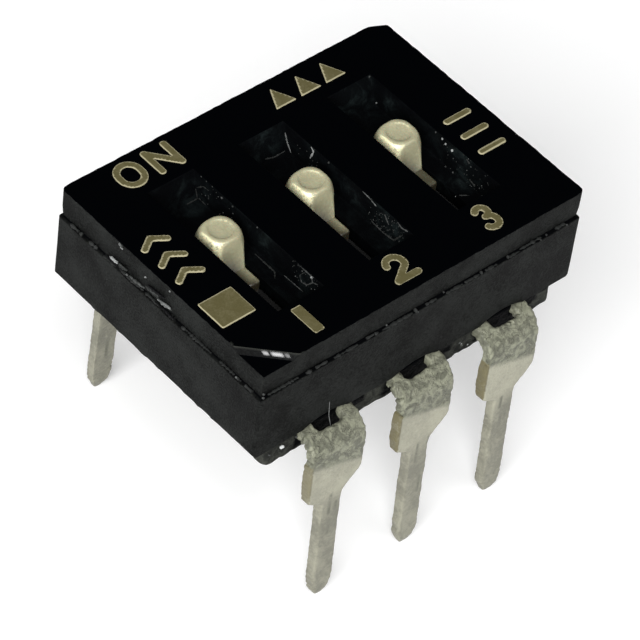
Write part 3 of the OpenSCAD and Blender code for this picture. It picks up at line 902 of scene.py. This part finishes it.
def build_cover():
    """The moulded cover, with rounded edges, a ragged print line along its top and dusty pockets."""
    s = settings().housing
    rim, lip, corner_drop = 0.03 * MM, 0.022 * MM, 0.12 * MM

    def by_outline(point):
        beside = abs(point.x) > COVER_HIGH.x - rim or abs(point.y) > COVER_HIGH.y - rim
        return point.z > Z_TOP - rim and beside

    bm = cad_copy("cover")
    round_edges(bm, s.edge_round, sharper_than=25,
                keep=lambda e: min(v.co.z for v in e.verts) > Z_PART - 0.01 * MM)
    grid_cut(bm, s.mesh_step)
    grid_cut(bm, 0.05 * MM, "xy",
             within=lambda f: all(by_outline(v.co) and not in_pocket(v.co, rim) for v in f.verts))
    grid_cut(bm, 0.022 * MM, "xy", within=lambda f: all(on_riser(v.co) for v in f.verts))
    mark_edges(bm)
    bm.normal_update()
    top, pocket, dirt_and_shade, riser, gleam = layers(bm, "top", "pocket", "dirt_and_shade", "riser", "gleam")
    for v in bm.verts:
        below = Z_TOP - v.co.z
        level = v.normal.z
        v[pocket] = float(in_pocket(v.co, lip) and v.co.z < Z_TOP - SLIVER)
        if v[pocket]:
            v[dirt_and_shade] = dust_film(v.co)
        v[top] = float(v.co.z > Z_TOP - SLIVER or v.co.z > Z_TOP - corner_drop and level > 0.95)
        if on_riser(v.co) and 0.4 < level < 0.995:
            v[top] = 0.35
            # A painted highlight: a thin grey line along the top edge of the riser.
            v[riser] = fade(below / MM, 0.03)
            v[gleam] = riser_gleam(below / MM, (v.co.x - COVER_LOW.x) / MM)
    stray(bm, amount=0.013 * MM, size=0.14 * MM, seed=2.0,
          weight=lambda v: float(by_outline(v.co) and not v[pocket]))
    wobble(bm, amount=0.006 * MM, size=0.9 * MM, seed=4.0, weight=lambda v: 1.0 - v[pocket])
    return piece("cover_shell", bm, HOUSING, once("Cover plastic", cover_material), "cover_plastic", "cover")


def in_shadow(point):
    """Whether a point of the base gets painted shade: in its parting line, in an arch or in the gap beside a
    terminal.
    """
    x, y, z = point
    skin = 0.018 * MM
    if max(abs(x) - BASE_HIGH.x, abs(y) - BASE_HIGH.y) >= -skin:
        return False
    beside = min(abs(x - column) for column in COLUMNS)
    right = min((x - column for column in COLUMNS if x > column), default=0.0)
    gap_end = 2.0 * MM if x > COLUMNS[-1] else 1.15 * MM
    gap_depth = 0.30 * MM if right < 1.15 * MM else 0.14 * MM
    seam = z > Z_PART - 0.075 * MM
    arch = beside < 0.76 * MM and LEAD_TOP - 0.5 * MM < z < LEAD_TOP + 0.3 * MM
    gap = 0.6 * MM < right < gap_end and LEAD_TOP - gap_depth < z < LEAD_TOP + 0.03 * MM
    return seam or arch or gap


def build_base():
    """The moulded base, with rounded edges and a rough foot around the terminals."""
    s = settings().housing
    end_face, side_face, underside_drop = 4.1 * MM, BASE_HIGH.y - 0.12 * MM, 0.035 * MM
    bm = cad_copy("base")
    round_edges(bm, s.edge_round, sharper_than=25, keep=lambda e: all(
        abs(v.co.x) > end_face or abs(v.co.y) > side_face for v in e.verts))
    grid_cut(bm, s.mesh_step)
    grid_cut(bm, 0.04 * MM, "z", within=lambda f: all(
        LEAD_TOP - 0.75 * MM < v.co.z < LEAD_TOP + 0.3 * MM and abs(v.co.y) > BASE_HIGH.y - 0.3 * MM
        for v in f.verts))
    mark_edges(bm)
    foot, painted_shade = layers(bm, "foot", "painted_shade")
    for v in bm.verts:
        v[foot] = float(v.co.z < LEAD_TOP - 0.02 * MM)
        # Painted shade in the parting line, the arches over the terminals and the gaps beside them.
        v[painted_shade] = float(in_shadow(v.co))
        if v.co.z < BASE_LOW.z + 0.03 * MM:
            v.co.z -= underside_drop
    wobble(bm, s.foot_rough, size=0.14 * MM, seed=6.0, weight=lambda v: v[foot])
    wobble(bm, amount=0.008 * MM, size=0.9 * MM, seed=8.0)
    return piece("base_shell", bm, HOUSING, once("Base plastic", base_material), "base_plastic", "base")


def thread(bm, points, half_width, half_depth, out, tone, seed):
    """A closed, uneven thread through points, tapered at both ends. Its depth runs along out."""
    shade = layer(bm, "tone")
    sides, blunt, uneven, grit = 8, 0.3, 1.2, 0.045 * MM
    path = [points[0]]
    for a, b in zip(points, points[1:]):
        parts = max(3, math.ceil((b - a).length / (1.5 * half_width)))
        path += [a.lerp(b, k / parts) for k in range(1, parts + 1)]
    for _ in range(2):
        path[1:-1] = [(a + 2 * b + c) / 4 for a, b, c in zip(path, path[1:], path[2:])]
    rings = []
    for k, spot in enumerate(path):
        run = path[min(k + 1, len(path) - 1)] - path[max(k - 1, 0)]
        side = run.cross(out).normalized()
        full = math.sin(math.pi * (k + 0.5) / len(path)) ** blunt * (1 + uneven * ripple(spot, grit, seed))
        rings.append([bm.verts.new(spot + side * half_width * full * math.cos(a)
                                   + out * half_depth * full * math.sin(a))
                      for a in (math.tau * n / sides for n in range(sides))])
        for v in rings[-1]:
            v[shade] = tone
    tube(bm, rings)
    bm.faces.new(rings[0])
    bm.faces.new(rings[-1])


def speck(bm, spot, radius, tone, seed):
    """A small uneven grain."""
    shade = layer(bm, "tone")
    made = bmesh.ops.create_icosphere(bm, subdivisions=2, radius=radius, matrix=Matrix.Translation(spot))
    for v in made["verts"]:
        v.co += (v.co - spot) * 0.6 * ripple(v.co, radius, seed)
        v[shade] = tone


def build_dust():
    """Fibres, flakes and grains of dust that stick to the walls and floors of the pockets."""
    highest = settings().housing.pocket_depth / MM - 0.02
    lowest, flattest = 0.02, 0.012
    bm = bmesh.new()
    for k, (pocket, face, width, tone, points) in enumerate(DUST_MARKS):
        spots = [on_face(pocket, face, a, b) for a, b in points]
        out = spots[0][1]
        path = [spot + out * 0.2 * width * MM for spot, _ in spots]
        if len(path) == 1:
            speck(bm, path[0], width / 2 * MM, tone, k)
        else:
            thread(bm, path, width / 2 * MM, min(flattest, width / 3) * MM, out, tone, k)
    draw = random.Random(5)
    for pocket, along, height, spread, count in DUST_CLOUDS:
        for k in range(count):
            a = along + draw.uniform(-1, 1) * spread
            b = min(highest, max(lowest, height + draw.uniform(-1, 1) * spread * 0.6))
            speck(bm, on_face(pocket, WALL, a, b)[0], draw.uniform(0.007, 0.016) * MM,
                  draw.uniform(0.3, 0.68), k)
    return piece("pocket_dust", bm, HOUSING, once("Dirt", dirt_material), "cover_plastic", smooth_below=80.0)


def on_side(side, along, height):
    """A point on one side of the housing and the direction out of that side, from lengths in millimetres."""
    out = Vector({"front": (0, -1, 0), "back": (0, 1, 0), "left": (-1, 0, 0), "right": (1, 0, 0)}[side])
    spot = Vector((out.x * BASE_HIGH.x, out.y * BASE_HIGH.y, height * MM))
    spot += Vector((abs(out.y), abs(out.x), 0)) * along * MM
    return spot, out


def seam_threads(bm, draw, side, reach):
    """Torn threads of flash along one side: some bridge the parting line, and thin ones cling to its lips."""
    seam, sunk, half_depth = Z_PART / MM - 0.03, 0.042 * MM, 0.038 * MM
    at = 0.1 - reach
    while at < reach - 0.5:
        bridges = draw.random() < 0.4
        start = at + draw.uniform(0.0, 0.45) ** 1.5
        at = start + (draw.uniform(0.2, 0.6) ** 2 if bridges else draw.uniform(0.2, 0.9))
        level = seam + (draw.uniform(-0.01, 0.01) if bridges else draw.choice((-0.026, 0.026)))
        half = draw.uniform(0.030, 0.050) if bridges else draw.uniform(0.010, 0.022)
        out = on_side(side, 0, 0)[1]
        ends = [on_side(side, a, level)[0] - out * sunk for a in (start, at)]
        thread(bm, ends, half * MM, half_depth, out, draw.uniform(0.38, 0.5), at)


def build_flash():
    """Torn flash in the parting line, chips and grains on the sides, and a hair at terminal 1."""
    bm = bmesh.new()
    draw = random.Random(11)
    chip_sunk, chip_half_depth, strands = 0.015 * MM, 0.024 * MM, 5
    for side in ("front", "back", "left", "right"):
        seam_threads(bm, draw, side, (BASE_HIGH.x if side in ("front", "back") else BASE_HIGH.y) / MM)
    for k, (side, width, tone, points) in enumerate(SIDE_CHIPS):
        spots = [on_side(side, a, b) for a, b in points]
        out = spots[0][1]
        path = [spot - out * chip_sunk for spot, _ in spots]
        if len(path) == 1:
            speck(bm, path[0], width / 2 * MM, tone, k)
            continue
        for n in range(strands):
            shifted = [spot + Vector((0, draw.uniform(-0.05, 0.05), draw.uniform(-0.4, 0.4) * width)) * MM
                       for spot in path]
            thread(bm, shifted, draw.uniform(0.1, 0.3) * width * MM, chip_half_depth, out,
                   max(0.0, tone + draw.uniform(-0.14, 0.1) * float(tone > 0)), k + n)
    thread(bm, [Vector(p) * MM for p in HAIR_PATH], half_width=0.009 * MM, half_depth=0.009 * MM,
           out=Vector((0, -1, 0)), tone=0.72, seed=3.0)
    return piece("seam_flash", bm, HOUSING, once("Dirt", dirt_material), "base_plastic", smooth_below=80.0)


def lofted(rings, segments, centre, z_top):
    """A closed body through level rings, from the bottom up, which leans a little to the left below z_top.

    A ring is (height, side, side_end, nose, nose_end, radius): a round of that radius rolled along an outline
    with back corners at (side, side), side corners at (side, -side_end) and a nose at (nose, -nose_end).
    """
    bm = bmesh.new()
    made = []
    side_turn = math.sin(math.radians(20))
    for z, side, side_end, nose, nose_end, radius in rings:
        lean = KNOB_LEAN * min(1.0, (z_top - z) / KNOB_LEAN_REACH) * MM if z < z_top else 0.0
        ring = []
        for k in range(segments):
            a = math.tau * (k + 0.5) / segments
            c, d = math.cos(a), math.sin(a)
            if d > 0:
                corner = (side, side)
            else:
                corner = (side, -side_end) if abs(d) < side_turn else (nose, -nose_end)
            ring.append(bm.verts.new((centre[0] - lean + math.copysign(1.0, c) * corner[0] + radius * c,
                                      centre[1] + corner[1] + radius * d, z)))
        made.append(ring)
    tube(bm, made)
    for ring, z in ((made[0], rings[0][0]), (made[-1], rings[-1][0])):
        tip = bm.verts.new((centre[0], centre[1], z))
        for k in range(segments):
            bm.faces.new((ring[k - 1], ring[k], tip))
    return bm


def united(parts):
    """One closed bmesh from several overlapping ones."""
    objects = []
    for bm in parts:
        bmesh.ops.recalc_face_normals(bm, faces=bm.faces)
        objects.append(mesh_object("part", bm))
    first = objects[0]
    for other in objects[1:]:
        joint = first.modifiers.new("Union", "BOOLEAN")
        joint.operation, joint.solver, joint.object = "UNION", "EXACT", other
    bpy.context.view_layer.update()
    whole = bmesh.new()
    whole.from_object(first, bpy.context.evaluated_depsgraph_get())
    for made in objects:
        mesh = made.data
        bpy.data.objects.remove(made)
        bpy.data.meshes.remove(mesh)
    return whole


def knob_rings(z_foot, z_top):
    """Level rings of the knob: a round dished top that turns square and runs out onto the tail."""
    s = settings().slider
    neck = s.tail_half_width * 0.4
    rings = [(z, neck, neck, neck, s.tail_back / 2, neck) for z in (z_foot - 0.12 * MM, z_foot)]
    rings += [(z_foot + (z_top - z_foot) * h, *(size * MM for size in sizes)) for h, *sizes in KNOB_FLANK]
    return rings + [(z_top - s.dish_depth * depth, 0.0, 0.0, 0.0, 0.0, s.dish_radius * share)
                    for share, depth in KNOB_DISH]


def carriage_plate(node):
    """The slider's hidden plate, with its skirts and peg, cut off level just under its top."""
    bm = cad_copy(node)
    cut = bmesh.ops.bisect_plane(bm, geom=bm.verts[:] + bm.edges[:] + bm.faces[:], clear_outer=True,
                                 plane_co=(0, 0, PLATE_TOP - 0.01 * MM), plane_no=(0, 0, 1))
    bmesh.ops.contextual_create(bm, geom=[e for e in cut["geom_cut"] if isinstance(e, bmesh.types.BMEdge)])
    round_edges(bm, width=0.03 * MM, sharper_than=50)
    return bm


def build_slider(position):
    """A cream slider: the dished knob, its tail in the slot, and the hidden plate with skirts and peg."""
    s = settings().slider
    node = f"slider_{position}"
    low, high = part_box(node)
    x, y = (low.x + high.x) / 2, KNOB_AXIS_Y
    carriage = carriage_plate(node)
    tail_top, half, blunt = Z_TOP - s.tail_drop, s.tail_half_width, 0.07 * MM
    front = y - s.tail_front + blunt
    outline = resample(arc((x - half + blunt, front), blunt, 180, 270, 6)
                       + arc((x + half - blunt, front), blunt, 270, 360, 6)
                       + arc((x, y + s.tail_back - half), half, 0, 180, 16), 0.04 * MM)
    tail = rounded_sheet([outline], thickness=tail_top - PLATE_TOP + 0.05 * MM, top_round=0.06 * MM,
                         low_round=0.01 * MM, step=0.08 * MM)
    bmesh.ops.translate(tail, verts=tail.verts, vec=(0, 0, tail_top))
    knob = lofted(knob_rings(Z_TOP - s.foot_drop, high.z), s.segments, (x, y), high.z)
    bm = united([knob, tail, carriage])
    dirt_and_shade, inside, rubbed = layers(bm, "dirt_and_shade", "inside", "rubbed")
    bm.normal_update()
    for v in bm.verts:
        above = v.co.z - tail_top
        # Painted highlight on the flank that faces the key lamp, in the upper half millimetre of the knob.
        v[rubbed] = clamp((v.normal.dot(LIT_FLANK_WAY) - 0.74) / 0.15) * float(v.co.z > Z_TOP - 0.5 * MM)
        # Grime and painted shade on the tail: darker to the left in the left wall's shadow, darker lower
        # down, darker at the tip.
        left = clamp(0.4 + (x - v.co.x) / (0.24 * MM))
        right = clamp((v.co.x - x) / half)
        tip = clamp((front + 0.15 * MM - v.co.y) / (0.2 * MM)) * (1.0 - 0.7 * right)
        tip_face = float(v.co.y < front - 0.1 * blunt and above < -0.01 * MM)
        v[dirt_and_shade] = max(tip, tip_face, clamp((0.42 * MM - above) / (0.4 * MM)) * left)
        # This slider's tail is painted dark all over, for grime and the shade of its pocket.
        if position == DARK_TAIL_SLIDER and above < 0.02 * MM:
            v[dirt_and_shade] = max(v[dirt_and_shade], 0.8)
        # Painted shade: the hidden plate under the slot is coloured near black.
        v[inside] = float(v.co.z < PLATE_TOP + 0.03 * MM)
    return piece(node + "_knob", bm, f"switch_{position}", once("Slider plastic", slider_material),
                 "slider_plastic", node, smooth_below=40.0)


def build_contact(position):
    """A gilded bridge contact under its slider, with softened edges."""
    node = f"bridge_contact_{position}"
    bm = cad_copy(node)
    round_edges(bm, width=0.02 * MM, sharper_than=50)
    grid_cut(bm, step=0.15 * MM)
    wobble(bm, amount=0.004 * MM, size=0.3 * MM, seed=position)
    return piece(node + "_strip", bm, f"switch_{position}", once("Gold plate", gold_material),
                 "contact_metal", node)


def blank_outline(neck, end):
    """The stamped terminal laid flat: u across from its middle, v along from the tip of the pin."""
    s = settings().terminal
    half_pin, half, seat = s.pin_width / 2, s.shoulder / 2, s.pin_length
    neck_in, stub, stub_top = 0.06 * MM, half + s.stub, seat + 1.38 * MM
    right = ((half_pin, s.taper), (half_pin - neck_in, seat), (half_pin - neck_in / 2, seat + 0.16 * MM),
             (half - 0.06 * MM, seat + 0.54 * MM), (half, seat + 0.66 * MM), (half, neck), (s.pad_half, neck),
             (s.pad_half, end))
    left = ((-s.pad_half, end), (-s.pad_half, neck), (-half, neck), (-half, stub_top), (-stub, stub_top),
            (-stub, seat + 0.62 * MM), (-half, seat + 0.25 * MM), (-half_pin - neck_in, seat),
            (-half_pin, s.taper))
    return arc((0, s.tip_radius), s.tip_radius, 200, 340, 10) + [Vector(p) for p in right + left]


def relief_hole(low, high):
    """The hole that eases the bend, as a clockwise outline between two places along the strip."""
    half = 0.37 * MM
    corners = [Vector(p) for p in ((-half, low), (half, low), (half, high), (-half, high))]
    return soften(resample(corners, OUTLINE_STEP), 12)[::-1]


def ragged(loop, bend_start, seed):
    """A sheared outline: rough all along, rougher round the bend, and roughest at the tip of the pin."""
    made = []
    for p, n in zip(loop, outward(loop)):
        rough = 0.013 + 0.022 * fade(p.y, 1.2 * MM) + 0.012 * float(p.y > bend_start - 0.3 * MM)
        grit = ripple(Vector((*p, 0)), 0.08 * MM, seed) + 0.7 * ripple(Vector((*p, 0)), 0.3 * MM, seed + 5)
        made.append(p + n * rough * MM * grit)
    return made


def mark_terminal(bm, position):
    """Marks the flat terminal's rough upper part, bare stub, darker pin and scratches."""
    s = settings().terminal
    upper, bare, pin, scratch = layers(bm, "upper", "bare", "pin", "scratch")
    draw = random.Random(position)
    scratches = [(draw.uniform(-0.15, 0.2), draw.uniform(1.3, 3.4), draw.uniform(0.15, 0.45))
                 for _ in range(3)]
    scratch_width = 0.03
    stub_edge, stub_low, stub_high = s.shoulder / 2 - 0.01 * MM, 3.4 * MM, 4.62 * MM
    stub_bare = 0.8 if position == 1 else 1.0
    for v in bm.verts:
        u, along, _ = v.co
        v[upper] = clamp(0.5 + (along - 4.3 * MM + 0.32 * u) / (0.5 * MM))
        v[bare] = float(-u > stub_edge and stub_low < along < stub_high) * stub_bare
        v[pin] = clamp((3.5 * MM - along) / (0.6 * MM))
        v[scratch] = max(clamp(1.6 - abs(u / MM - across) / scratch_width)
                         * clamp(4.0 - 4.0 * abs(along / MM - middle) / reach)
                         for across, middle, reach in scratches)
    return upper, bare


def build_terminal(position):
    """A stamped, tinned terminal, bent over its relief hole, with a rough sheared stub on one edge."""
    s = settings().terminal
    front = position <= 3
    column = COLUMNS[position - 1] if front else COLUMNS[6 - position]
    low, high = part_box(f"terminal_{position}")
    lean, half = s.splay, s.strip / 2
    mid = s.bend_radius - half
    level = high.z - half
    leg, start = Vector((math.sin(lean), math.cos(lean))), Vector((-s.tip_row, 0.0))
    pivot = Vector((-s.tip_row - half / math.cos(lean) + (level - mid) * math.tan(lean)
                    + s.bend_radius / math.cos(lean), level - mid))
    bend_start = (pivot + mid * Vector((-leg.y, leg.x)) - start).length
    bend_length = mid * (math.pi / 2 - lean)
    middle = bend_start + bend_length + abs(pivot.x)
    end = middle - (abs(high.y) if front else abs(low.y))
    outline = soften(resample(blank_outline(middle - NECK_Y, end), OUTLINE_STEP), 3)
    hole = relief_hole(bend_start + bend_length - mid * HOLE_TURN, middle - HOLE_Y)
    seed = position * 7.3
    loops = [ragged(loop, bend_start, seed) for loop in (outline, hole)]
    bm = rounded_sheet(loops, s.strip, s.roll, s.burr, s.mesh_step)
    upper, bare = mark_terminal(bm, position)
    for v in bm.verts:
        u, along, depth = v.co
        out = (depth + half) * (1.0 - s.coin_depth / half * fade(along, s.coin_height))
        if along < bend_start:
            place, normal = start + leg * along, Vector((-leg.y, leg.x))
        elif along < bend_start + bend_length:
            turn = (along - bend_start) / mid
            normal = Vector((-math.cos(lean + turn), math.sin(lean + turn)))
            place = pivot + normal * mid
        else:
            place, normal = pivot + Vector((along - bend_start - bend_length, mid)), Vector((0.0, 1.0))
        spot = place + normal * out
        v.co = Vector((u, spot.x, spot.y))
        if not front:
            v.co.x, v.co.y = -v.co.x, -v.co.y
        v.co.x += column
    wobble(bm, amount=0.013 * MM, size=0.13 * MM, seed=seed, weight=lambda v: max(v[upper], v[bare]))
    wobble(bm, amount=0.005 * MM, size=0.10 * MM, seed=seed + 1)
    wobble(bm, amount=0.008 * MM, size=0.5 * MM, seed=seed + 3)
    return piece(f"terminal_{position}_lead", bm, HOUSING, once("Tin plate", tin_material), "terminal_metal",
                 f"terminal_{position}")


def build_print(node):
    """One group of printed marks, with a soft rim and a slightly ragged outline."""
    s = settings().ink
    bm = cad_copy(node)
    round_edges(bm, s.corner_round, sharper_than=60, segments=3,
                keep=lambda e: abs(e.verts[0].co.z - e.verts[1].co.z) > 0.01 * MM)
    face_up = max(v.co.z for v in bm.verts) - 0.001 * MM
    round_edges(bm, s.rim_round, sharper_than=60, keep=lambda e: all(v.co.z > face_up for v in e.verts))
    grid_cut(bm, s.mesh_step, "xy")
    mark_edges(bm)
    stray(bm, s.ragged, size=0.07 * MM, seed=3.0)
    return piece(node + "_ink", bm, HOUSING, once("Khaki ink", ink_material), "ink", node)


# Stage ------------------------------------------------------------------------


def sun(name, towards, strength, spread):
    """A soft sun lamp, in a direction from the part and with a spread in degrees."""
    lamp = bpy.data.lights.new(name, "SUN")
    lamp.energy = strength
    lamp.angle = math.radians(spread)
    new_object(name, lamp).rotation_euler = (-Vector(towards)).to_track_quat("-Z", "Y").to_euler()


def build_camera():
    """A long lens that looks down on the pin 1 corner."""
    s = settings().stage
    back = Vector((math.sin(s.azimuth) * math.cos(s.elevation), -math.cos(s.azimuth) * math.cos(s.elevation),
                   math.sin(s.elevation)))
    level_right = Vector((0, 0, 1)).cross(back).normalized()
    level_up = back.cross(level_right)
    right = level_right * math.cos(s.roll) + level_up * math.sin(s.roll)
    up = -level_right * math.sin(s.roll) + level_up * math.cos(s.roll)
    target = Vector((0, 0, Z_TOP)) + right * s.aim_right + up * s.aim_up
    lens = bpy.data.cameras.new("Camera")
    lens.lens = s.lens
    lens.sensor_width = 36.0
    lens.clip_start, lens.clip_end = 0.005, 2.0
    camera = new_object("Camera", lens)
    turn = Matrix((right, up, back)).transposed().to_4x4()
    camera.matrix_world = Matrix.Translation(target + back * s.distance) @ turn
    bpy.context.scene.camera = camera


def build_world():
    """A white backdrop for the camera that hardly shows in the glossy plastic."""
    world = bpy.data.worlds.new("World")
    world.use_nodes = True
    world.node_tree.nodes.clear()
    w = Wires(world.node_tree)
    white = (1.0, 1.0, 1.0, 1.0)
    dim, bright = (w.fed(w.node("ShaderNodeBackground"), white, strength) for strength in (0.03, 1.0))
    camera_ray = w.node("ShaderNodeLightPath").outputs["Is Camera Ray"]
    choice = w.fed(w.node("ShaderNodeMixShader"), camera_ray, dim, bright)
    w.feed(w.node("ShaderNodeOutputWorld").inputs["Surface"], choice)
    bpy.context.scene.world = world


def build_stage():
    """The camera, the lamps, the backdrop and the pale floor."""
    s = settings().stage
    build_camera()
    build_world()
    sun("Key", (-0.75, -0.40, 0.53), s.key, spread=50)
    sun("Front fill", (0.25, -0.8, 0.5), s.fill, spread=60)
    sun("Top light", (-0.1, -0.5, 1.0), s.top, spread=50)
    sun("Glint", (-0.348, -0.388, 0.852), s.glint, spread=9)
    bm = bmesh.new()
    bmesh.ops.create_grid(bm, x_segments=40, y_segments=40, size=0.3)
    bmesh.ops.translate(bm, verts=bm.verts, vec=(0, 0, CAD_BOX[0].z - 0.01 * MM))
    floor = mesh_object("floor", bm)
    floor.data.materials.append(once("Pale floor", floor_material))
    bpy.context.scene.view_settings.view_transform = "Standard"
    bpy.context.scene.view_settings.look = "None"


# Operators --------------------------------------------------------------------


class DIP_OT_housing(bpy.types.Operator):
    """Build the cover and the base of the DIP switch"""

    bl_idname = "dip_switch.housing"
    bl_label = "Housing"

    def execute(self, context):
        build_cover()
        build_base()
        return {"FINISHED"}


class DIP_OT_sliders(bpy.types.Operator):
    """Build the three sliders"""

    bl_idname = "dip_switch.sliders"
    bl_label = "Sliders"

    def execute(self, context):
        for position in POSITIONS:
            build_slider(position)
        return {"FINISHED"}


class DIP_OT_contacts(bpy.types.Operator):
    """Build the three bridge contacts under the sliders"""

    bl_idname = "dip_switch.contacts"
    bl_label = "Bridge contacts"

    def execute(self, context):
        for position in POSITIONS:
            build_contact(position)
        return {"FINISHED"}


class DIP_OT_terminals(bpy.types.Operator):
    """Build the six stamped terminals"""

    bl_idname = "dip_switch.terminals"
    bl_label = "Terminals"

    def execute(self, context):
        for position in PINS:
            build_terminal(position)
        return {"FINISHED"}


class DIP_OT_prints(bpy.types.Operator):
    """Build the printed marks on the cover"""

    bl_idname = "dip_switch.prints"
    bl_label = "Printed marks"

    def execute(self, context):
        for node in INK_NODES:
            build_print(node)
        return {"FINISHED"}


class DIP_OT_dirt(bpy.types.Operator):
    """Build the dust in the pockets and the torn flash along the parting line"""

    bl_idname = "dip_switch.dirt"
    bl_label = "Dust and flash"

    def execute(self, context):
        build_dust()
        build_flash()
        return {"FINISHED"}


class DIP_OT_stage(bpy.types.Operator):
    """Set up the camera, the lamps and the floor"""

    bl_idname = "dip_switch.stage"
    bl_label = "Stage"

    def execute(self, context):
        build_stage()
        return {"FINISHED"}


OPERATORS = (DIP_OT_housing, DIP_OT_sliders, DIP_OT_contacts, DIP_OT_terminals, DIP_OT_prints, DIP_OT_dirt,
             DIP_OT_stage)


class DIP_PT_sidebar(bpy.types.Panel):
    """Lists the steps that build the DIP switch"""

    bl_idname = "DIP_PT_sidebar"
    bl_label = "DIP switch"
    bl_space_type = "VIEW_3D"
    bl_region_type = "UI"
    bl_category = "DIP switch"

    def draw(self, context):
        for operator in OPERATORS:
            self.layout.operator(operator.bl_idname)


CLASSES = (HousingSettings, SliderSettings, TerminalSettings, InkSettings, StageSettings, SwitchSettings,
           *OPERATORS, DIP_PT_sidebar)


def register():
    """Registers the settings, the operators and the panel."""
    for cls in CLASSES:
        bpy.utils.register_class(cls)
    bpy.types.Scene.dip_switch = PointerProperty(type=SwitchSettings)


def unregister():
    """Takes away what register added."""
    del bpy.types.Scene.dip_switch
    for cls in reversed(CLASSES):
        bpy.utils.unregister_class(cls)


def main():
    """Registers the add-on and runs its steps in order."""
    register()
    for operator in OPERATORS:
        getattr(bpy.ops.dip_switch, operator.bl_idname.split(".")[1])()


if __name__ == "__main__":
    main()
